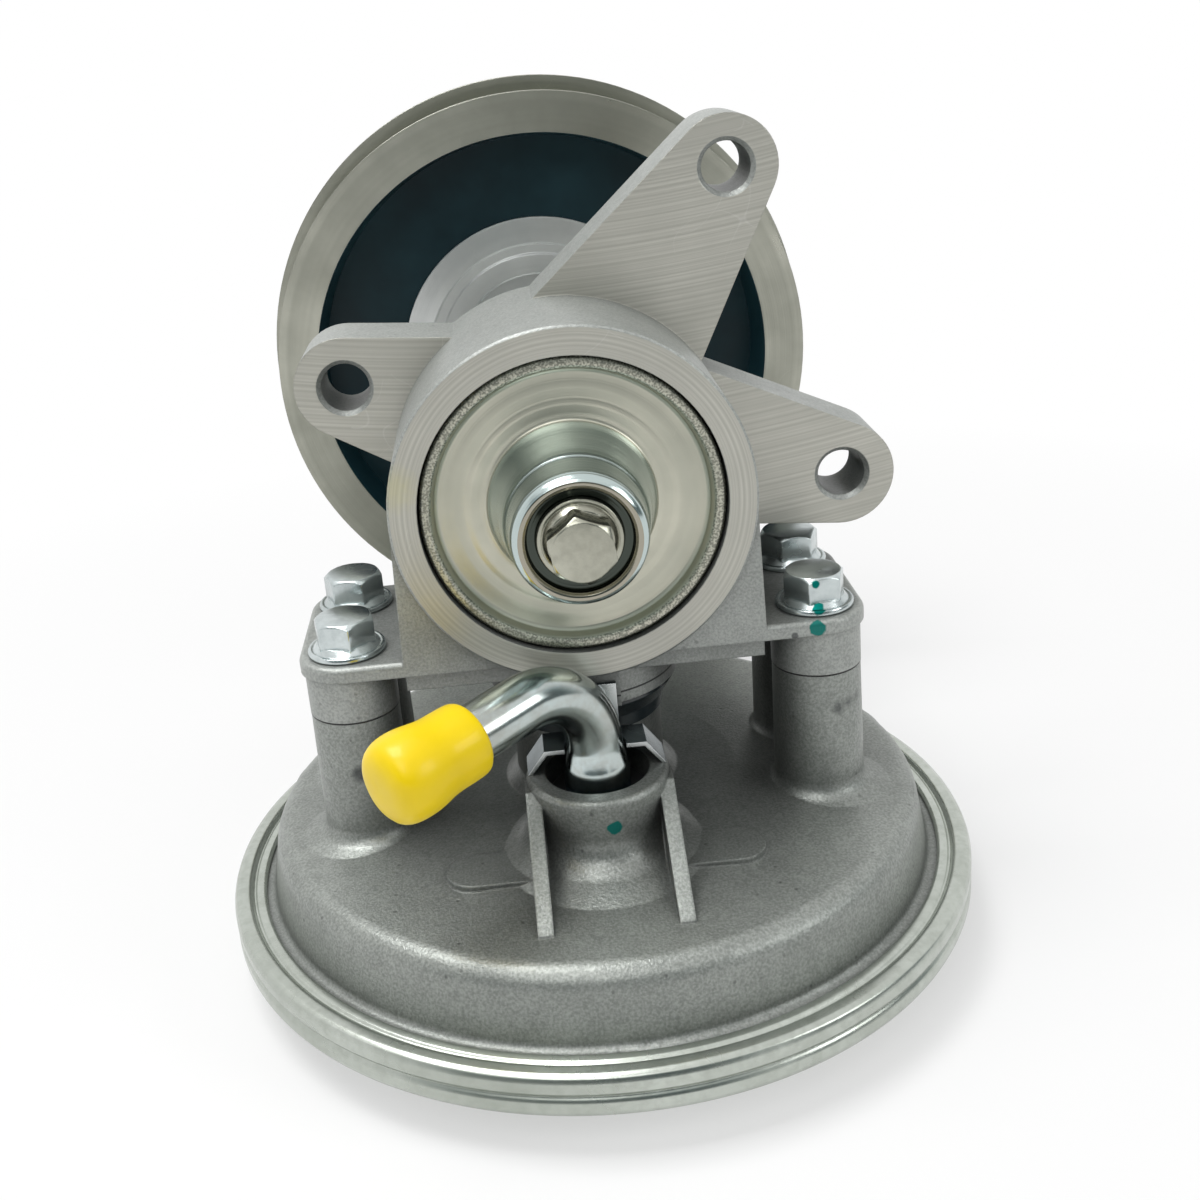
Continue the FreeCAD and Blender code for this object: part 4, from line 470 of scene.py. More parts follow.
@dataclass(frozen=True)
class Finish:
    """A finish of one kind of surface.

    Every finish gives a surface, and some mix two by where a point lies on the piece.
    """

    name: str
    colour: Colour = (0.5, 0.5, 0.5)
    shade: Colour = (0.4, 0.4, 0.4)
    rough: Span = (0.3, 0.4)
    blotch_scale: float = 40.0
    patchiness: float = 0.7
    metal: float = 1.0
    bump_mm: float = 0.03
    edge_mm: float = 0.3
    patches: tuple[Patch, ...] = ()

    def surface(self, tree: Tree) -> Surface:
        """Describe the bare surface.

        Args:
            tree: the material's tree.

        Returns:
            The surface's sockets.
        """
        blotch = tree.use(Blotches(), scale=self.blotch_scale).outputs["Value"]
        patchy = tree.remap(blotch, 0.0, 1.0, 1.0 - self.patchiness, 1.0)
        return Surface(
            tree.mix(patchy, self.shade, self.colour),
            tree.between(blotch, *reversed(self.rough)),
            blotch,
        )

    def dab_on(self, tree: Tree, bare: Surface) -> Surface:
        """Lay the finish's patches over a surface.

        Args:
            tree: the material's tree.
            bare: the surface below.

        Returns:
            The surface with its patches.
        """
        colour, roughness = bare.colour, bare.roughness
        for patch in self.patches:
            dab = tree.use(
                Dab(),
                centre=tuple(c * MM for c in patch.centre_mm),
                radius=patch.radius_mm * MM,
                softness=patch.softness_mm * MM,
                ragged=patch.ragged,
            ).outputs["Value"]
            share = tree.math("MULTIPLY", dab, patch.strength)
            colour = tree.mix(share, colour, patch.colour)
            roughness = tree.between(share, roughness, patch.shine)
        return Surface(colour, roughness, bare.height)

    def metallic(self, tree: Tree) -> Feed:
        """Say how metallic the surface is.

        Args:
            tree: the material's tree.

        Returns:
            One number, or a socket where it changes.
        """
        return self.metal

    def build(self) -> bpy.types.Material:
        """Make the material, or find it if it is already made.

        Returns:
            The material.
        """
        title = self.name + "_look"
        found = bpy.data.materials.get(title)
        if found:
            return found
        material, tree, shader = new_material(title)
        done = self.dab_on(tree, self.surface(tree))
        tree.fill(shader, base_color=done.colour, roughness=done.roughness, metallic=self.metallic(tree))
        bump = tree.add("ShaderNodeBump")
        tree.fill(bump, distance=self.bump_mm * MM, strength=1.0, height=done.height)
        if self.edge_mm:
            soft = tree.fill(tree.add("ShaderNodeBevel", samples=CORNER_SAMPLES), radius=self.edge_mm * MM)
            tree.fill(bump, normal=soft.outputs["Normal"])
        tree.fill(shader, normal=bump.outputs["Normal"], **self.gloss())
        return material

    def gloss(self) -> dict[str, float]:
        """Return what is the same all over, by the names of the shader's inputs."""
        return {}


@dataclass(frozen=True)
class Casting(Finish):
    """Cast aluminium with a pebbled skin, scattered dark pits and painted shade in its recesses."""

    grain: float = 900.0
    pit_share: float = 0.25
    pit_and_shade_colour: Colour = (0.05, 0.05, 0.05)
    pit_strength: float = 0.7
    grain_shade: float = 0.25
    grain_range: Span = (0.4, 0.66)
    seam_at: float = 65.0 * MM
    seam_half_width: float = 0.22 * MM
    # painted shade: how far the occlusion looks, how dark it paints and over what range
    painted_shade_reach: float = 45.0 * MM
    painted_shade_tone: float = 0.34
    painted_shade_range: Span = (0.3, 0.8)

    def surface(self, tree: Tree) -> Surface:
        """Describe the cast skin, with painted shade in its recesses and under overhangs."""
        bare = super().surface(tree)
        grain = tree.use(CastGrain(), scale=self.grain, pit_share=self.pit_share)
        tone = tree.remap(grain.outputs["Height"], *self.grain_range, 0.0, self.grain_shade)
        colour = tree.mix(tone, bare.colour, self.shade)
        _, _, z = tree.parts(tree.place())
        away = tree.math("ABSOLUTE", tree.math("SUBTRACT", z, self.seam_at))
        seam = tree.math("LESS_THAN", away, self.seam_half_width)
        pits = tree.math("MAXIMUM", tree.math("MULTIPLY", grain.outputs["Pits"], self.pit_strength), seam)
        height = tree.math("SUBTRACT", grain.outputs["Height"], pits)
        colour = tree.mix(pits, colour, self.pit_and_shade_colour)
        # painted shade: occlusion darkens the skin towards the pit colour in recesses, corners and under the
        # barrel
        painted_shade = tree.add("ShaderNodeAmbientOcclusion", samples=CORNER_SAMPLES)
        tree.fill(painted_shade, distance=self.painted_shade_reach)
        unshaded_share = tree.remap(painted_shade.outputs["AO"], *self.painted_shade_range, self.painted_shade_tone, 1.0)
        return Surface(tree.mix(unshaded_share, self.pit_and_shade_colour, colour), bare.roughness, height)


@dataclass(frozen=True)
class Turned(Finish):
    """Metal turned on the shaft's axis."""

    rings: float = 1500.0
    ring_tone: float = 0.4
    band_range: Span = (0.35, 0.65)
    marks: float = 0.5

    def surface(self, tree: Tree) -> Surface:
        """Describe the turned face."""
        bare = super().surface(tree)
        turned = tree.use(TurningMarks(), rings=self.rings, centre_height=SHAFT_HEIGHT)
        tone = tree.remap(turned.outputs["Bands"], *self.band_range, 0.0, self.ring_tone)
        line = tree.use(HandlingMarks(), share=self.marks).outputs["Value"]
        colour = tree.mix(tone, bare.colour, self.shade)
        rough = tree.between(tone, bare.roughness, self.rough[1])
        return Surface(tree.mix(line, colour, self.colour), rough, turned.outputs["Height"])


@dataclass(frozen=True)
class Plated(Finish):
    """Zinc plating: bright, a little blue, with faint streaks."""

    streak_scale: float = 400.0
    streak_range: Span = (0.4, 0.7)
    streak_tone: float = 0.35

    def surface(self, tree: Tree) -> Surface:
        """Describe the plated skin."""
        bare = super().surface(tree)
        fine = tree.noise(tree.place(), self.streak_scale, 3.0, 0.6)
        streak = tree.remap(fine, *self.streak_range, 0.0, self.streak_tone)
        return Surface(tree.mix(streak, bare.colour, self.shade), bare.roughness, fine)


@dataclass(frozen=True)
class ClipFinish(Plated):
    """Dark spring steel, with a painted highlight on the faces that look along Y, its front and back edges.
    """

    painted_edge_highlight: Colour = (0.6, 0.62, 0.62)
    highlight_facing_from: float = 0.9

    def surface(self, tree: Tree) -> Surface:
        """Describe the sheet, with a painted highlight on its front and back edges."""
        bare = super().surface(tree)
        _, along, _ = tree.parts(tree.add("ShaderNodeTexCoord").outputs["Normal"])
        # painted highlight: faces that look along Y are lightened
        edge = tree.math("GREATER_THAN", tree.math("ABSOLUTE", along), self.highlight_facing_from)
        return Surface(tree.mix(edge, bare.colour, self.painted_edge_highlight), bare.roughness, bare.height)


@dataclass(frozen=True)
class HousingFinish(Casting):
    """The housing: cast outside, milled on the faces that look along the shaft."""

    milled: Colour = (0.6, 0.6, 0.6)
    milled_shade: Colour = (0.5, 0.5, 0.5)
    milled_rough: Span = (0.25, 0.38)
    milled_bump: float = 0.25
    milled_bands: Span = (0.35, 0.65)
    blotch_share: float = 0.4
    scratch: Colour = (0.85, 0.85, 0.84)
    scratch_share: float = 0.3
    facing: Span = (0.93, 0.98)
    turned_rings: float = 1800.0
    milled_rings: float = 1500.0
    barrel_face: float = -27.4 * MM
    ear_face: float = 4.9 * MM
    cutter_above: float = 350.0 * MM

    def surface(self, tree: Tree) -> Surface:
        """Describe the cast skin and the milled faces, parted by which way a face looks."""
        cast = super().surface(tree)
        _, along, _ = tree.parts(tree.add("ShaderNodeTexCoord").outputs["Normal"])
        _, y, _ = tree.parts(tree.place())
        faces = tree.remap(tree.math("ABSOLUTE", along), *self.facing)
        front = tree.math("LESS_THAN", y, self.barrel_face + MM)
        ears = tree.math("GREATER_THAN", y, self.ear_face - MM)
        mask = tree.math("MULTIPLY", faces, tree.math("MAXIMUM", front, ears))
        turned = tree.use(TurningMarks(), rings=self.turned_rings, centre_height=SHAFT_HEIGHT)
        cutter = SHAFT_HEIGHT + self.cutter_above
        milled = tree.use(TurningMarks(), rings=self.milled_rings, centre_height=cutter)
        marks = tree.between(front, milled.outputs["Height"], turned.outputs["Height"])
        blotch = tree.use(Blotches(), scale=60.0).outputs["Value"]
        line = tree.use(HandlingMarks(), scale=70.0, share=0.6).outputs["Value"]
        tone = tree.mix(tree.remap(marks, *self.milled_bands), self.milled_shade, self.milled)
        tone = tree.mix(tree.math("MULTIPLY", blotch, self.blotch_share), tone, self.milled_shade)
        tone = tree.mix(tree.math("MULTIPLY", line, self.scratch_share), tone, self.scratch)
        rough = tree.between(blotch, *self.milled_rough)
        return Surface(
            tree.mix(mask, cast.colour, tone),
            tree.between(mask, cast.roughness, rough),
            tree.between(mask, cast.height, tree.math("MULTIPLY", marks, self.milled_bump)),
        )


@dataclass(frozen=True)
class RimFinish(Turned):
    """The pulley: turned faces and a painted recess."""

    paint: Colour = (0.02, 0.04, 0.045)
    paint_light: Colour = (0.05, 0.08, 0.09)
    recess_radius: float = 66.2 * MM
    paint_shine: float = 0.25
    paint_rough: Span = (0.32, 0.45)

    def inside(self, tree: Tree) -> Socket:
        """Mark the painted recess.

        Args:
            tree: the material's tree.

        Returns:
            A socket with 1 within the recess and 0 outside it.
        """
        return tree.math("LESS_THAN", tree.off_axis(), self.recess_radius)

    def surface(self, tree: Tree) -> Surface:
        """Describe the turned faces and the paint."""
        turned = super().surface(tree)
        inside = self.inside(tree)
        blotch = tree.use(Blotches(), scale=25.0).outputs["Value"]
        paint = tree.mix(blotch, self.paint, self.paint_light)
        grain = tree.use(CastGrain(), scale=500.0, pit_share=0.1)
        return Surface(
            tree.mix(inside, turned.colour, paint),
            tree.between(inside, turned.roughness, tree.between(blotch, *self.paint_rough)),
            tree.between(inside, turned.height, grain.outputs["Height"]),
        )

    def metallic(self, tree: Tree) -> Feed:
        """Return 0 on the paint and 1 on the metal."""
        return tree.math("SUBTRACT", 1.0, self.inside(tree))

    def gloss(self) -> dict[str, float]:
        """Return the paint's dull shine."""
        return {"specular_ior_level": self.paint_shine}


@dataclass(frozen=True)
class DiscFinish(Turned):
    """The disc: matt rolled plating on its dish, knurled at its edge, polished on its nose, with painted
    shade in its mouth.
    """

    nose_radius: float = 17.9 * MM
    nose_edge: float = 0.3 * MM
    rim_radius: float = 12.3 * MM
    mouth_radius: float = 10.75 * MM
    knurl_radius: float = 29.6 * MM
    knurl_scale: float = 2400.0
    knurl_range: Span = (0.4, 0.6)
    knurl_depth: float = 0.8
    knurl_tone: float = 0.45
    nose_shine: float = 0.16
    nose_colour: Colour = (0.5, 0.58, 0.57)
    rim_colour: Colour = (0.36, 0.34, 0.28)
    mouth_painted_shade: Colour = (0.06, 0.07, 0.06)

    def surface(self, tree: Tree) -> Surface:
        """Describe the dish, its knurled edge, the nose, its rim and its hollow darkened with painted shade,
        parted by their radius.
        """
        dish = super().surface(tree)
        radius = tree.off_axis()
        nose = tree.remap(radius, self.nose_radius - self.nose_edge, self.nose_radius, 1.0, 0.0)
        edge = tree.math("GREATER_THAN", radius, self.knurl_radius)
        knurl = tree.noise(tree.place(), self.knurl_scale, 0.0)
        colour = tree.mix(nose, dish.colour, self.nose_colour)
        colour = tree.mix(tree.math("LESS_THAN", radius, self.rim_radius), colour, self.rim_colour)
        # painted shade: the hollow inside the mouth is darkened
        colour = tree.mix(tree.math("LESS_THAN", radius, self.mouth_radius), colour, self.mouth_painted_shade)
        dark = tree.math("MULTIPLY", edge, tree.remap(knurl, *self.knurl_range, 0.0, self.knurl_depth))
        return Surface(
            tree.mix(dark, colour, tuple(c * self.knurl_tone for c in self.shade)),
            tree.between(nose, dish.roughness, self.nose_shine),
            tree.between(edge, dish.height, knurl),
        )


@dataclass(frozen=True)
class Soft(Finish):
    """Rubber or dipped vinyl."""

    metal: float = 0.0
    coat: float = 0.0
    coat_rough: float = 0.08
    specular: float = 0.5

    def gloss(self) -> dict[str, float]:
        """Return the shine of the skin."""
        return {
            "coat_weight": self.coat, "coat_roughness": self.coat_rough, "specular_ior_level": self.specular,
        }


TEAL = rgb(10, 112, 104)
SMUDGE = rgb(40, 42, 46)
STAIN = rgb(206, 198, 120)
CHIP = rgb(235, 235, 232)

HOUSING = HousingFinish(
    "housing_casting", colour=rgb(176, 179, 175), shade=rgb(122, 126, 122), rough=(0.38, 0.5), metal=0.5,
    grain=1700.0, grain_shade=0.55, pit_share=0.12, pit_strength=0.4, bump_mm=0.1, edge_mm=0.5,
    patchiness=0.25,
    milled=rgb(192, 191, 182), milled_shade=rgb(172, 171, 162), milled_rough=(0.28, 0.4),
    patches=(
        Patch((50.6, -24.1, 76.9), 1.9, TEAL),
        Patch((-36.4, -27.6, 119.0), 6.0, STAIN, 0.25, 4.5),
        Patch((-52.0, 4.9, 119.5), 0.8, CHIP, 0.9),
        Patch((-40.2, 4.9, 111.5), 0.7, CHIP, 0.9),
        Patch((45.6, -24.1, 75.8), 0.9, SMUDGE, 0.7),
    ),
)
DOME = Casting(
    "dome_casting", colour=rgb(162, 166, 161), shade=rgb(104, 108, 104), rough=(0.33, 0.44), metal=0.6,
    grain=1700.0, grain_shade=0.6, pit_share=0.14, pit_strength=0.55, bump_mm=0.1, edge_mm=0.8,
    patchiness=0.2,
    patches=(
        Patch((2.2, -47.0, 46.5), 1.9, TEAL),
        Patch((-52.0, -23.4, 52.5), 2.6, SMUDGE, 0.7, 1.6),
        Patch((55.0, -23.0, 56.6), 2.2, SMUDGE, 0.6, 1.8),
        Patch((57.4, -22.0, 57.4), 1.9, SMUDGE, 0.5, 1.8),
        Patch((59.6, -20.0, 58.0), 1.7, SMUDGE, 0.4, 1.6),
    ),
)
RIM_SHEET = Plated(
    "plated_sheet", colour=rgb(198, 203, 196), shade=rgb(152, 158, 148), rough=(0.2, 0.34), bump_mm=0.02,
    blotch_scale=26.0,
)
BOLT_ZINC = Plated(
    "bolt_zinc", colour=rgb(218, 226, 226), shade=rgb(164, 172, 172), rough=(0.16, 0.3), bump_mm=0.03,
    patches=(Patch((51.6, -21.2, 80.4), 1.7, TEAL), Patch((51.4, -20.0, 85.4), 1.1, TEAL)),
)
DISC_BOLT_ZINC = Plated(
    "disc_bolt_zinc", colour=rgb(186, 186, 172), shade=rgb(134, 134, 122), rough=(0.18, 0.3), bump_mm=0.03,
    patches=(Patch((-7.4, -47.6, 108.0), 0.9, rgb(220, 200, 60), 0.7),),
)
PIPE_ZINC = Plated(
    "pipe_zinc", colour=rgb(202, 216, 217), shade=rgb(158, 156, 146), rough=(0.12, 0.22), bump_mm=0.012,
    # painted shade, bluish: a darker patch round the collar, where the pipe enters its port
    patches=(Patch((0.0, -31.5, 46.4), 8.8, rgb(112, 148, 168), 0.85, 0.9, 0.05, 0.24),),
)
CLIP_STEEL = ClipFinish(
    "clip_steel", colour=rgb(112, 122, 124), shade=rgb(76, 86, 90), rough=(0.2, 0.32), bump_mm=0.015,
)
DISC_ZINC = DiscFinish(
    "disc_zinc", colour=rgb(206, 204, 188), shade=rgb(172, 173, 160), rough=(0.3, 0.42), rings=1100.0,
    ring_tone=0.45, bump_mm=0.05, edge_mm=0.0, marks=0.2,
)
PULLEY = RimFinish(
    "pulley_finish", colour=rgb(186, 186, 174), shade=rgb(148, 149, 138), rough=(0.26, 0.38), bump_mm=0.03,
    paint=rgb(12, 33, 39), paint_light=rgb(27, 56, 63),
)
HUB = Turned(
    "hub_finish", colour=rgb(232, 234, 232), shade=rgb(196, 199, 198), rough=(0.28, 0.36), rings=900.0,
    bump_mm=0.05, metal=0.8,
)
SHAFT = Turned("shaft_steel", colour=rgb(180, 180, 182), shade=rgb(140, 140, 142), rough=(0.2, 0.3))
RACE = Turned("bearing_steel", colour=rgb(196, 196, 198), shade=rgb(170, 170, 172), rough=(0.1, 0.18))
BRONZE = Turned("bronze", colour=rgb(188, 150, 92), shade=rgb(150, 112, 64), rough=(0.25, 0.35))
RUBBER = Soft("black_rubber", colour=rgb(34, 34, 35), shade=rgb(22, 22, 23), rough=(0.5, 0.65), bump_mm=0.04)
BOOT = Soft(
    "boot_rubber", colour=rgb(30, 40, 44), shade=rgb(18, 25, 28), rough=(0.2, 0.3), bump_mm=0.03, coat=0.3,
)
VINYL = Soft(
    "yellow_vinyl", colour=rgb(246, 214, 0), shade=rgb(238, 204, 0), rough=(0.34, 0.44), blotch_scale=60.0,
    coat=0.12, bump_mm=0.04, edge_mm=0.0, specular=0.35,
)


def dress(finish: Finish, *names: str) -> None:
    """Give carried-over parts their finish.

    Args:
        finish: the finish.
        names: the parts' nodes.
    """
    material = finish.build()
    for name in names:
        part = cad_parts[name]
        if not part.material_slots:
            part.data.materials.append(material)
        for slot in part.material_slots:
            slot.material = material
        log.info("%s: %s", name, finish.name)


class Facing(Enum):
    """Which way a turned piece's axis looks, by the degrees that it turns about X."""

    UP = 0.0
    FORWARD = 90.0

    def at(self, x: float = 0.0, y: float = 0.0, z: float = 0.0) -> Matrix:
        """Say where a piece goes that looks this way.

        Args:
            x: its origin's place, in millimetres.
            y: the same along Y.
            z: the same along Z.

        Returns:
            The place's matrix.
        """
        turn = Matrix.Rotation(math.radians(self.value), 4, "X")
        return Matrix.Translation(Vector((x, y, z)) * MM) @ turn


class Bench:
    """The bench where new pieces are modelled, one at a time."""

    merge_below = 0.01 * MM
    same_factor = 1e-6

    def clear(self) -> None:
        """Leave edit mode and deselect everything."""
        if bpy.context.object and bpy.context.object.mode != "OBJECT":
            bpy.ops.object.mode_set(mode="OBJECT")
        bpy.ops.object.select_all(action="DESELECT")

    def pick(self, piece: bpy.types.Object) -> None:
        """Select one piece alone and make it the active one.

        Args:
            piece: the piece.
        """
        self.clear()
        piece.select_set(True)
        bpy.context.view_layer.objects.active = piece

    def close_up(self) -> None:
        """Merge the corners that meet, turn the faces outward and leave edit mode."""
        bpy.ops.mesh.select_all(action="SELECT")
        bpy.ops.mesh.remove_doubles(threshold=self.merge_below)
        bpy.ops.mesh.normals_make_consistent(inside=False)
        bpy.ops.object.mode_set(mode="OBJECT")

    def turned(self, name: str, profile: Sequence[tuple[float, float]], segments: int,
               closed: bool = False) -> bpy.types.Object:
        """Model a piece turned about Z, ring by ring.

        Args:
            name: the piece's name.
            profile: radius and height of each ring, in millimetres.
            segments: how many sides a ring has.
            closed: whether the last ring meets the first; otherwise both ends are filled.

        Returns:
            The piece.
        """
        self.clear()
        radius, height = profile[0]
        bpy.ops.mesh.primitive_circle_add(
            vertices=segments, radius=radius * MM, location=(0.0, 0.0, height * MM),
            fill_type="NOTHING" if closed else "NGON",
        )
        piece = bpy.context.active_object
        piece.name = name
        bpy.ops.object.mode_set(mode="EDIT")
        bpy.ops.mesh.select_all(action="SELECT")
        for next_radius, next_height in [*profile[1:], *(profile[:1] if closed else ())]:
            self.step((next_height - height) * MM, next_radius / radius, next_height * MM)
            radius, height = next_radius, next_height
        self.close_up()
        return piece

    def step(self, rise: float, factor: float, height: float) -> None:
        """Extrude the selected ring and open or close it about the axis.

        Args:
            rise: how far the new ring moves up, in metres.
            factor: its radius against the last ring's.
            height: the new ring's height, in metres.
        """
        bpy.ops.mesh.extrude_region_move(TRANSFORM_OT_translate={"value": (0.0, 0.0, rise)})
        if abs(factor - 1.0) > self.same_factor:
            bpy.ops.transform.resize(value=(factor, factor, 1.0), center_override=(0.0, 0.0, height))

    def modify(self, piece: bpy.types.Object, kind: str, **settings: object) -> None:
        """Put a modifier on a piece and apply it.

        Args:
            piece: the piece.
            kind: the modifier's type name.
            settings: its properties.
        """
        self.pick(piece)
        modifier = piece.modifiers.new(kind.lower(), kind)
        for name, value in settings.items():
            setattr(modifier, name, value)
        bpy.ops.object.modifier_apply(modifier=modifier.name)

    def soften(self, piece: bpy.types.Object, width_mm: float, angle: float, segments: int = 3) -> None:
        """Round the edges of a piece that turn by more than an angle.

        Args:
            piece: the piece.
            width_mm: the rounding's width.
            angle: the least angle, in degrees.
            segments: how many steps the rounding has.
        """
        self.modify(piece, "BEVEL", width=width_mm * MM, segments=segments, limit_method="ANGLE",
                    angle_limit=math.radians(angle))

    def join(self, name: str, pieces: Sequence[bpy.types.Object]) -> bpy.types.Object:
        """Join pieces into one mesh.

        Args:
            name: the name of the whole.
            pieces: its pieces.

        Returns:
            The whole.
        """
        self.clear()
        for piece in pieces:
            piece.select_set(True)
        bpy.context.view_layer.objects.active = pieces[0]
        bpy.ops.object.join()
        pieces[0].name = name
        return pieces[0]

    def set_down(self, piece: bpy.types.Object, place: Matrix, angle: float = 35.0) -> None:
        """Move a piece to its place, keep the place in its mesh and shade it.

        Args:
            piece: the piece.
            place: where it goes.
            angle: edges sharper than this stay sharp, in degrees.
        """
        self.pick(piece)
        piece.matrix_world = place @ piece.matrix_world
        bpy.ops.object.transform_apply(location=True, rotation=True, scale=True)
        bpy.ops.object.shade_smooth_by_angle(angle=math.radians(angle))

    def fit(self, piece: bpy.types.Object, finish: Finish, body: str, node: str) -> None:
        """Finish a piece, let it ride and let it stand for its node.

        Args:
            piece: the piece.
            finish: its finish.
            body: the body that carries it.
            node: the node that it stands for.
        """
        piece.data.materials.clear()
        piece.data.materials.append(finish.build())
        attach(piece, body)
        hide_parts(node)
        log.info("%s: modelled, %d faces", piece.name, len(piece.data.polygons))


BENCH = Bench()


@dataclass
class FlangedBolt:
    """A hexagon bolt with a dished flange, in millimetres, its seat at height 0."""

    sides: int = 6
    flats: float = 12.4
    height: float = 8.1
    overlap: float = 0.6
    chamfer: float = 2.0
    corner_round: float = 0.35
    edge_round: float = 0.22
    flange_radius: float = 8.7
    flange_height: float = 2.6
    shank_radius: float = 3.9
    shank_length: float = 30.0
    segments: int = 64

    def model(self, name: str, turn: float = 0.0) -> bpy.types.Object:
        """Model the bolt.

        Args:
            name: its name.
            turn: how far the head is turned, in degrees.

        Returns:
            The bolt, its axis on Z.
        """
        corner = self.flats / 2.0 / math.cos(math.pi / self.sides)
        BENCH.clear()
        low = self.flange_height - self.overlap
        bpy.ops.mesh.primitive_cylinder_add(
            vertices=self.sides, radius=corner * MM, depth=(self.height - low) * MM,
            location=(0.0, 0.0, (self.height + low) / 2.0 * MM), rotation=(0.0, 0.0, math.radians(turn)),
        )
        head = bpy.context.active_object
        head.name = name
        BENCH.soften(head, self.corner_round, angle=50.0)
        wide = corner + 1.0
        cone = BENCH.turned("chamfer_tool", (
            (wide, 0.0), (wide, self.height - self.chamfer), (self.flats / 2.0 - 0.2, self.height),
        ), self.segments)
        BENCH.modify(head, "BOOLEAN", operation="INTERSECT", object=cone, solver="EXACT")
        bpy.data.objects.remove(cone, do_unlink=True)
        BENCH.soften(head, self.edge_round, angle=25.0, segments=2)
        r = self.flange_radius
        flange = BENCH.turned(name + "_flange", (
            (self.shank_radius, -self.shank_length), (self.shank_radius, 0.0), (r - 0.3, 0.0), (r, 0.35),
            (r, 0.9), (r - 0.25, 1.3), (r - 0.7, 1.4), (r - 1.2, 1.25), (corner + 0.35, 1.35),
            (corner - 0.1, 1.9), (corner - 0.6, 2.5),
        ), self.segments)
        return BENCH.join(name, (head, flange))


@dataclass
class Castings:
    """The drive housing and the dome cover."""

    def dress(self) -> None:
        """Finish the two castings."""
        dress(HOUSING, "drive_housing")
        dress(DOME, "dome_cover")


@dataclass
class Chamber:
    """The rolled rim, the pan, and what moves the air inside."""

    lip: float = 80.3
    outer: float = 87.95
    top: float = 19.1
    roof: float = 17.5
    pan_flange: float = 11.1
    bottom: float = 9.5
    sheet: float = 2.0
    membrane_hole: float = 4.05
    membrane_low: float = 10.2
    membrane_clamp: float = 12.7
    membrane_edge: float = 86.2
    roll_start: float = 45.5
    roll_end: float = 71.0
    roll_rise: float = 3.4
    roll_steps: int = 12
    split: float = 0.1
    membrane_segments: int = 128
    segments: int = 256

    def model_rim(self) -> None:
        """Model the ring that is rolled round the flanges."""
        lip, out, top = self.lip, self.outer, self.top
        middle = (top + self.bottom) / 2.0
        profile = (
            (lip, self.roof), (lip, top - 0.9), (lip + 0.6, top - 0.45), (lip + 2.2, top - 0.5),
            (lip + 2.7, top - 1.0), (lip + 3.1, top - 1.0), (lip + 3.7, top - 0.2), (lip + 4.3, top),
            (out - 1.5, top), (out - 0.5, top - 0.5), (out, top - 1.6), (out, middle + 1.2),
            (out - 0.35, middle + 0.5), (out - 0.8, middle), (out - 0.35, middle - 0.5),
            (out, middle - 1.2), (out, self.bottom + 1.6), (out - 0.5, self.bottom + 0.5),
            (out - 1.6, self.bottom), (out - 5.0, self.bottom),
            (out - 5.0, self.pan_flange), (out - 1.6, self.pan_flange), (out - 1.6, self.roof),
        )
        rim = BENCH.turned("rolled_rim", profile, self.segments, closed=True)
        BENCH.soften(rim, width_mm=0.25, angle=12.0, segments=2)
        BENCH.set_down(rim, Facing.UP.at())
        BENCH.fit(rim, RIM_SHEET, "pump_body", "crimp_ring")

    def model_membrane(self) -> None:
        """Model the membrane in two rings: the middle in its plates, and the roll with its clamped edge."""
        low, top, edge = self.membrane_low, self.membrane_low + self.sheet, self.roll_start - self.split
        middle = BENCH.turned("membrane_middle", (
            (self.membrane_hole, low), (edge, low), (edge, top), (self.membrane_hole, top),
        ), self.membrane_segments, closed=True)
        BENCH.set_down(middle, Facing.UP.at())
        BENCH.fit(middle, RUBBER, "rod", "diaphragm")
        under = []
        for step in range(self.roll_steps + 1):
            share = step / self.roll_steps
            rise = (self.membrane_clamp - low) * share + self.roll_rise * math.sin(math.pi * share)
            under.append((self.roll_start + (self.roll_end - self.roll_start) * share, low + rise))
        under.append((self.membrane_edge, self.membrane_clamp))
        over = [(radius, height + self.sheet) for radius, height in reversed(under)]
        roll = BENCH.turned("membrane_roll", under + over, self.membrane_segments, closed=True)
        BENCH.set_down(roll, Facing.UP.at())
        BENCH.fit(roll, RUBBER, "pump_body", "diaphragm")

    def dress(self) -> None:
        """Finish the rim, the pan and the membrane with its plates."""
        self.model_rim()
        self.model_membrane()
        dress(RIM_SHEET, "bottom_pan", "upper_diaphragm_plate", "lower_diaphragm_plate")
        dress(RUBBER, "inlet_valve", "outlet_valve")
        dress(BOOT, "rod_boot")
        dress(BOLT_ZINC, "diaphragm_nut")
        dress(SHAFT, "connecting_rod")
        dress(BRONZE, "rod_bushing")


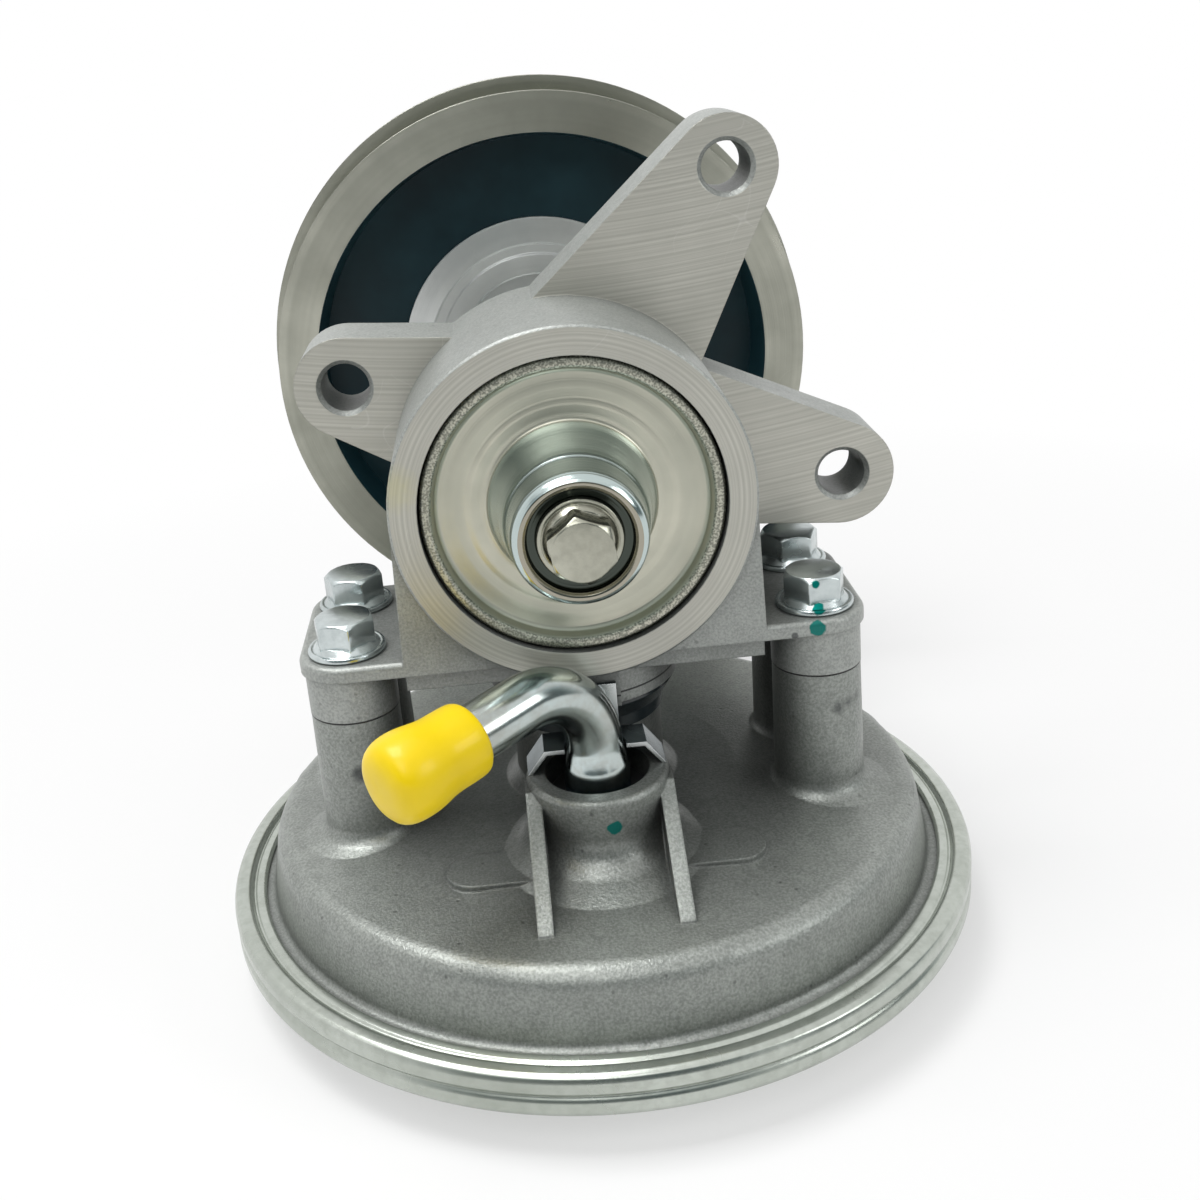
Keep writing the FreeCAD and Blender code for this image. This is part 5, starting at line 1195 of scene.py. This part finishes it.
@dataclass
class ShaftLine:
    """The shaft with its disc, bearings, eccentric and pulley.

    Sizes are in millimetres. The two places are along Y, and the disc's levels count from its face.
    """

    face_at: float = -26.4
    seat_at: float = -45.2
    radius: float = 32.0
    band: float = 29.8
    dish: float = 3.4
    thickness: float = 10.6
    base: float = 17.8
    waist: float = 15.2
    nose: float = 13.4
    nose_height: float = 21.1
    mouth: float = 10.6
    bolt_hole: float = 4.3
    bolt_length: float = 26.0
    bolt_turn: float = 8.0
    shaft_hole: float = 7.6
    web_at: float = 11.6
    segments: int = 192

    def model_disc(self) -> None:
        """Model the dished disc with its rippled floor and its stepped nose."""
        dish, top, back, seat = -self.dish, self.nose_height, -self.thickness, self.face_at - self.seat_at
        profile = (
            (self.shaft_hole, back + 1.0), (self.radius - 0.4, back), (self.radius, back + 0.4),
            (self.radius, -0.6), (self.radius - 0.5, -0.1), (self.band + 0.5, 0.0), (self.band, -0.2),
            (self.band - 0.5, -1.0), (self.band - 0.8, dish + 0.5), (self.band - 1.6, dish),
            (26.6, dish + 0.1), (25.4, dish + 0.28), (24.6, dish + 0.3), (23.6, dish + 0.16),
            (22.6, dish + 0.12), (21.8, dish + 0.3), (20.9, dish + 0.32), (20.0, dish + 0.12),
            (self.base + 0.9, dish + 0.1), (self.base + 0.2, dish + 0.3), (self.base - 0.3, dish + 1.1),
            (self.base - 1.2, 1.2), (self.base - 2.0, 4.4), (self.waist + 0.2, 7.8), (self.waist, 8.6),
            (self.waist - 0.2, 10.0), (self.nose + 1.4, 10.6), (self.nose + 0.9, 11.6),
            (self.nose + 0.6, 14.6), (self.nose + 0.4, top - 2.6), (self.nose - 0.1, top - 1.0),
            (self.nose - 1.1, top - 0.1), (self.nose - 1.8, top), (self.mouth + 0.4, top - 0.3),
            (self.mouth, top - 0.9), (self.mouth, seat), (self.bolt_hole, seat),
            (self.bolt_hole, self.web_at), (self.shaft_hole, self.web_at),
        )
        disc = BENCH.turned("dished_disc", profile, self.segments, closed=True)
        BENCH.soften(disc, width_mm=0.3, angle=14.0)
        BENCH.set_down(disc, Facing.FORWARD.at(y=self.face_at, z=SHAFT_MM), angle=40.0)
        BENCH.fit(disc, DISC_ZINC, "rotor", "front_disc")

    def model_bolt(self) -> None:
        """Model the bolt in the disc's nose."""
        bolt = FlangedBolt(shank_length=self.bolt_length).model("nose_bolt", self.bolt_turn)
        BENCH.set_down(bolt, Facing.FORWARD.at(y=self.seat_at, z=SHAFT_MM))
        BENCH.fit(bolt, DISC_BOLT_ZINC, "rotor", "front_disc_bolt")

    def dress(self) -> None:
        """Finish everything that turns, and what it turns in."""
        self.model_disc()
        self.model_bolt()
        dress(PULLEY, "pulley_rim")
        dress(HUB, "pulley_hub")
        dress(SHAFT, "drive_shaft", "eccentric", "pulley_spacer")
        dress(RACE, *(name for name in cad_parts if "bearing" in name))
        dress(CLIP_STEEL, "snap_ring")
        dress(RUBBER, "shaft_seal")


@dataclass
class Inlet:
    """The elbow in its port, with its cap, seal and clip, in millimetres."""

    port_y: float = -31.5
    pipe: float = 6.1
    wall: float = 1.2
    collar: float = 7.15
    foot: float = 41.0
    collar_low: float = 42.5
    collar_top: float = 55.0
    bend_start: float = 58.2
    bend_radius: float = 17.6
    bend_angle: float = 96.0
    bend_steps: int = 28
    heading: Point = (-0.77162, -0.63609, 0.0)
    run: float = 28.0
    cap_start: float = 13.8
    cap_length: float = 22.2
    wave_length: float = 11.0
    wave_height: float = 0.6
    wave_level: float = 0.55
    segments: int = 72
    cap_segments: int = 64

    def axis(self) -> Vector:
        """Return the direction of the pipe after its bend."""
        over = math.radians(self.bend_angle - 90.0)
        flat = Vector(self.heading)
        return (flat * math.cos(over) - Vector((0.0, 0.0, math.sin(over)))).normalized()

    def bend_end(self) -> Vector:
        """Return the middle of the pipe where its bend ends, in metres."""
        angle = math.radians(self.bend_angle)
        out = self.bend_radius * (1.0 - math.cos(angle))
        rise = self.bend_start + self.bend_radius * math.sin(angle)
        return (Vector((0.0, self.port_y, rise)) + Vector(self.heading) * out) * MM

    def model_pipe(self) -> None:
        """Model the pipe: collar and straight foot, a spun bend, the run and the wall."""
        pipe = BENCH.turned("bent_pipe", (
            (self.pipe, self.foot), (self.pipe, self.collar_low), (self.collar, self.collar_low + 0.8),
            (self.collar, self.collar_top - 1.0), (self.collar - 0.35, self.collar_top),
            (self.pipe + 0.2, self.collar_top + 2.0), (self.pipe, self.bend_start),
        ), self.segments)
        pipe.location.y = self.port_y * MM
        bpy.ops.object.transform_apply(location=True, rotation=True, scale=True)
        self.select_level(pipe, self.bend_start)
        bpy.ops.object.mode_set(mode="EDIT")
        flat = Vector(self.heading)
        centre = Vector((0.0, self.port_y, self.bend_start)) * MM + flat * self.bend_radius * MM
        turn = Vector((0.0, 0.0, 1.0)).cross(flat)
        angle = -math.radians(self.bend_angle)
        bpy.ops.mesh.spin(steps=self.bend_steps, angle=angle, center=centre, axis=turn)
        bpy.ops.mesh.extrude_region_move(TRANSFORM_OT_translate={"value": self.axis() * self.run * MM})
        bpy.ops.mesh.delete(type="ONLY_FACE")
        BENCH.close_up()
        self.open_foot(pipe)
        BENCH.modify(pipe, "SOLIDIFY", thickness=self.wall * MM, offset=-1.0)
        BENCH.soften(pipe, width_mm=0.3, angle=30.0, segments=2)
        BENCH.set_down(pipe, Facing.UP.at(), angle=40.0)
        BENCH.fit(pipe, PIPE_ZINC, "elbow", "inlet_elbow")

    def select_level(self, piece: bpy.types.Object, level: float) -> None:
        """Select the corners and faces of a piece that lie at a height.

        Args:
            piece: the piece, out of edit mode.
            level: the height, in millimetres.
        """
        for corner in piece.data.vertices:
            corner.select = abs(corner.co.z - level * MM) < BENCH.merge_below
        for face in piece.data.polygons:
            face.select = all(piece.data.vertices[i].select for i in face.vertices)
        for edge in piece.data.edges:
            edge.select = all(piece.data.vertices[i].select for i in edge.vertices)

    def open_foot(self, piece: bpy.types.Object) -> None:
        """Take the closing face off the pipe's lower end.

        Args:
            piece: the pipe.
        """
        BENCH.pick(piece)
        self.select_level(piece, self.foot)
        bpy.ops.object.mode_set(mode="EDIT")
        bpy.ops.mesh.delete(type="ONLY_FACE")
        BENCH.clear()

    def model_cap(self) -> None:
        """Model the dipped cap: thick wavy wall, gathered waist and rounded end."""
        pipe, end = self.pipe + 0.05, self.cap_length
        cap = BENCH.turned("dipped_cap", (
            (0.5, end - 2.0), (3.6, end - 2.1), (pipe, end - 5.0), (pipe, 10.0), (pipe, 0.0),
            (pipe + 1.0, -0.1), (7.7, 0.3), (8.0, 1.1), (8.1, 3.0), (8.1, 4.8), (8.05, 6.4), (8.1, 7.8),
            (8.3, 9.4), (8.7, 11.2), (9.05, 13.2), (9.2, 15.2), (9.1, 17.3), (8.7, 19.2), (7.7, 20.8),
            (6.0, 21.8), (3.4, end), (0.5, end),
        ), self.cap_segments)
        clouds = bpy.data.textures.new("cap_waves", "CLOUDS")
        clouds.noise_scale = self.wave_length * MM
        BENCH.modify(cap, "DISPLACE", texture=clouds, strength=self.wave_height * MM,
                     mid_level=self.wave_level, texture_coords="LOCAL")
        BENCH.modify(cap, "SUBSURF", levels=1, render_levels=1)
        turn = self.axis().to_track_quat("Z", "Y").to_matrix().to_4x4()
        place = Matrix.Translation(self.bend_end() + self.axis() * self.cap_start * MM) @ turn
        BENCH.set_down(cap, place, angle=60.0)
        BENCH.fit(cap, VINYL, "cap", "elbow_cap")

    def dress(self) -> None:
        """Finish the elbow and what holds it."""
        self.model_pipe()
        self.model_cap()
        dress(RUBBER, "port_seal")
        dress(CLIP_STEEL, "elbow_retainer")
        dress(BOLT_ZINC, "retainer_screw")


@dataclass
class Fasteners:
    """The flanged bolts that hold the housing on its posts, in millimetres and degrees."""

    across: float = 52.3
    along: float = 13.3
    seat: float = 78.5
    shank_length: float = 40.0
    turns: tuple[float, float, float, float] = (12.0, 41.0, 22.0, 35.0)

    def dress(self) -> None:
        """Model the four bolts, each with its own turn of the head."""
        corners = [(x, y) for y in (-self.along, self.along) for x in (-self.across, self.across)]
        for index, ((x, y), turn) in enumerate(zip(corners, self.turns)):
            bolt = FlangedBolt(shank_length=self.shank_length).model("lug_bolt_%d" % index, turn)
            BENCH.set_down(bolt, Facing.UP.at(x, y, self.seat))
            BENCH.fit(bolt, BOLT_ZINC, "pump_body", "housing_bolts")


@dataclass
class Studio:
    """A pale floor, soft light and the camera."""

    place_mm: Point = (-11.04, -306.87, 206.99)
    yaw: float = 1.04
    pitch: float = -18.71
    roll: float = -5.35
    focal_px: float = 1432.95
    centre_px: tuple[float, float] = (544.49, 505.22)
    image_px: float = 1200.0
    floor_size: float = 8.0
    room_level: float = 0.13
    diffuse_loss: float = 0.6
    room_tint: Colour = (0.72, 0.92, 0.95)
    tinted: Span = (0.1, 0.8)
    backdrop: Span = (-0.05, 0.3)
    ceiling: Span = (0.32, 0.7)
    window: Span = (-0.85, -0.6)
    window_level: float = 0.95
    doorway_at: float = 0.62
    doorway: Span = (0.06, 0.14)
    doorway_level: float = 0.75
    floor_tones: Span = (0.86, 0.88)
    floor_fade: Span = (0.1, 0.42)
    near_glow: float = 0.5
    aim: Point = (0.0, 0.02, 0.09)

    def camera(self) -> None:
        """Set the camera at the photograph's viewing angle."""
        yaw, pitch, roll = (math.radians(a) for a in (self.yaw, self.pitch, self.roll))
        ahead = Vector((math.sin(yaw) * math.cos(pitch), math.cos(yaw) * math.cos(pitch), math.sin(pitch)))
        level = Vector((math.cos(yaw), -math.sin(yaw), 0.0))
        rise = level.cross(ahead)
        right = level * math.cos(roll) + rise * math.sin(roll)
        up = rise * math.cos(roll) - level * math.sin(roll)
        data = bpy.data.cameras.new("camera")
        data.sensor_fit = "HORIZONTAL"
        data.sensor_width = 36.0
        data.lens = self.focal_px / self.image_px * data.sensor_width
        data.shift_x = (self.image_px / 2 - self.centre_px[0]) / self.image_px
        data.shift_y = (self.centre_px[1] - self.image_px / 2) / self.image_px
        data.clip_start = 0.01
        data.clip_end = 50.0
        camera = bpy.data.objects.new("camera", data)
        bpy.context.scene.collection.objects.link(camera)
        turn = Matrix((right, up, -ahead)).transposed().to_4x4()
        camera.matrix_world = Matrix.Translation(Vector(self.place_mm) * MM) @ turn
        bpy.context.scene.camera = camera

    def lamp(self, name: str, place: Point, size: float, power: float) -> None:
        """Hang a square soft lamp that looks at the pump.

        Args:
            name: the lamp's name.
            place: where it hangs, in metres.
            size: its side, in metres.
            power: its power, in watts.
        """
        data = bpy.data.lights.new(name, "AREA")
        data.shape = "SQUARE"
        data.size = size
        data.energy = power
        lamp = bpy.data.objects.new(name, data)
        bpy.context.scene.collection.objects.link(lamp)
        lamp.location = place
        lamp.rotation_euler = (Vector(self.aim) - Vector(place)).to_track_quat("-Z", "Y").to_euler()

    def sky(self) -> None:
        """Fill the studio: pale behind the pump, and round the camera a dark room with bright openings."""
        world = bpy.data.worlds.new("studio")
        world.use_nodes = True
        bpy.context.scene.world = world
        tree = Tree(world.node_tree)
        background = world.node_tree.nodes["Background"]
        x, y, z = tree.parts(tree.add("ShaderNodeTexCoord").outputs["Generated"])
        room = tree.remap(z, *self.ceiling)
        aside = tree.math("ABSOLUTE", tree.math("SUBTRACT", x, self.doorway_at))
        for level in (
            tree.remap(x, *self.window, self.window_level, 0.0),
            tree.remap(aside, *self.doorway, self.doorway_level, 0.0),
            self.room_level,
        ):
            room = tree.math("MAXIMUM", room, level)
        tone = tree.between(tree.remap(y, *self.backdrop), room, 1.0)
        light = tree.add("ShaderNodeLightPath")
        seen = light.outputs["Is Camera Ray"]
        loss = tree.math("MULTIPLY", light.outputs["Is Diffuse Ray"], self.diffuse_loss)
        level = tree.math("MULTIPLY", tone, tree.math("SUBTRACT", 1.0, loss))
        tint = tree.mix(tree.remap(tone, *self.tinted), self.room_tint, WHITE)
        tree.fill(background, strength=tree.between(seen, level, 1.0), color=tree.mix(seen, tint, WHITE))

    def floor(self) -> None:
        """Lay a pale floor that keeps the pump's shadow."""
        BENCH.clear()
        bpy.ops.mesh.primitive_plane_add(size=self.floor_size, location=(0.0, 0.0, 0.0))
        floor = bpy.context.active_object
        floor.name = "floor"
        material, tree, shader = new_material("pale_floor")
        wave = tree.noise(tree.place(), scale=3.0)
        low, high = ((tone, tone, tone) for tone in self.floor_tones)
        tree.fill(shader, base_color=tree.mix(wave, low, high), roughness=0.9, specular_ior_level=0.1)
        light = tree.add("ShaderNodeLightPath")
        glow = tree.fill(tree.add("ShaderNodeEmission"), color=(*WHITE, 1.0))
        mixer = tree.add("ShaderNodeMixShader")
        x, y, _ = tree.parts(tree.place())
        fade = tree.remap(tree.span(x, y), *self.floor_fade, self.near_glow, 1.0)
        seen = tree.math("MAXIMUM", light.outputs["Is Camera Ray"], light.outputs["Is Glossy Ray"])
        tree.feed(mixer.inputs[0], tree.math("MULTIPLY", seen, fade))
        tree.feed(mixer.inputs[1], shader.outputs[0])
        tree.feed(mixer.inputs[2], glow.outputs[0])
        tree.fill(material.node_tree.nodes["Material Output"], surface=mixer.outputs[0])
        floor.data.materials.append(material)

    def set_up(self) -> None:
        """Build the whole studio."""
        self.camera()
        self.sky()
        self.floor()
        self.lamp("overhead", (-0.30, 0.0, 1.0), size=0.5, power=6.8)
        self.lamp("front", (-0.30, -0.95, 1.15), size=0.7, power=4.2)
        self.lamp("right", (0.80, -0.45, 0.50), size=0.4, power=2.0)
        bpy.context.scene.view_settings.view_transform = "Standard"


def main() -> None:
    """Build the pump's looks piece by piece, then the studio round it."""
    logging.basicConfig(level=logging.INFO, format="%(message)s")
    for assembly in (Castings(), Chamber(), ShaftLine(), Inlet(), Fasteners()):
        log.info("assembly: %s", type(assembly).__name__)
        assembly.dress()
    Studio().set_up()


if __name__ == "__main__":
    main()
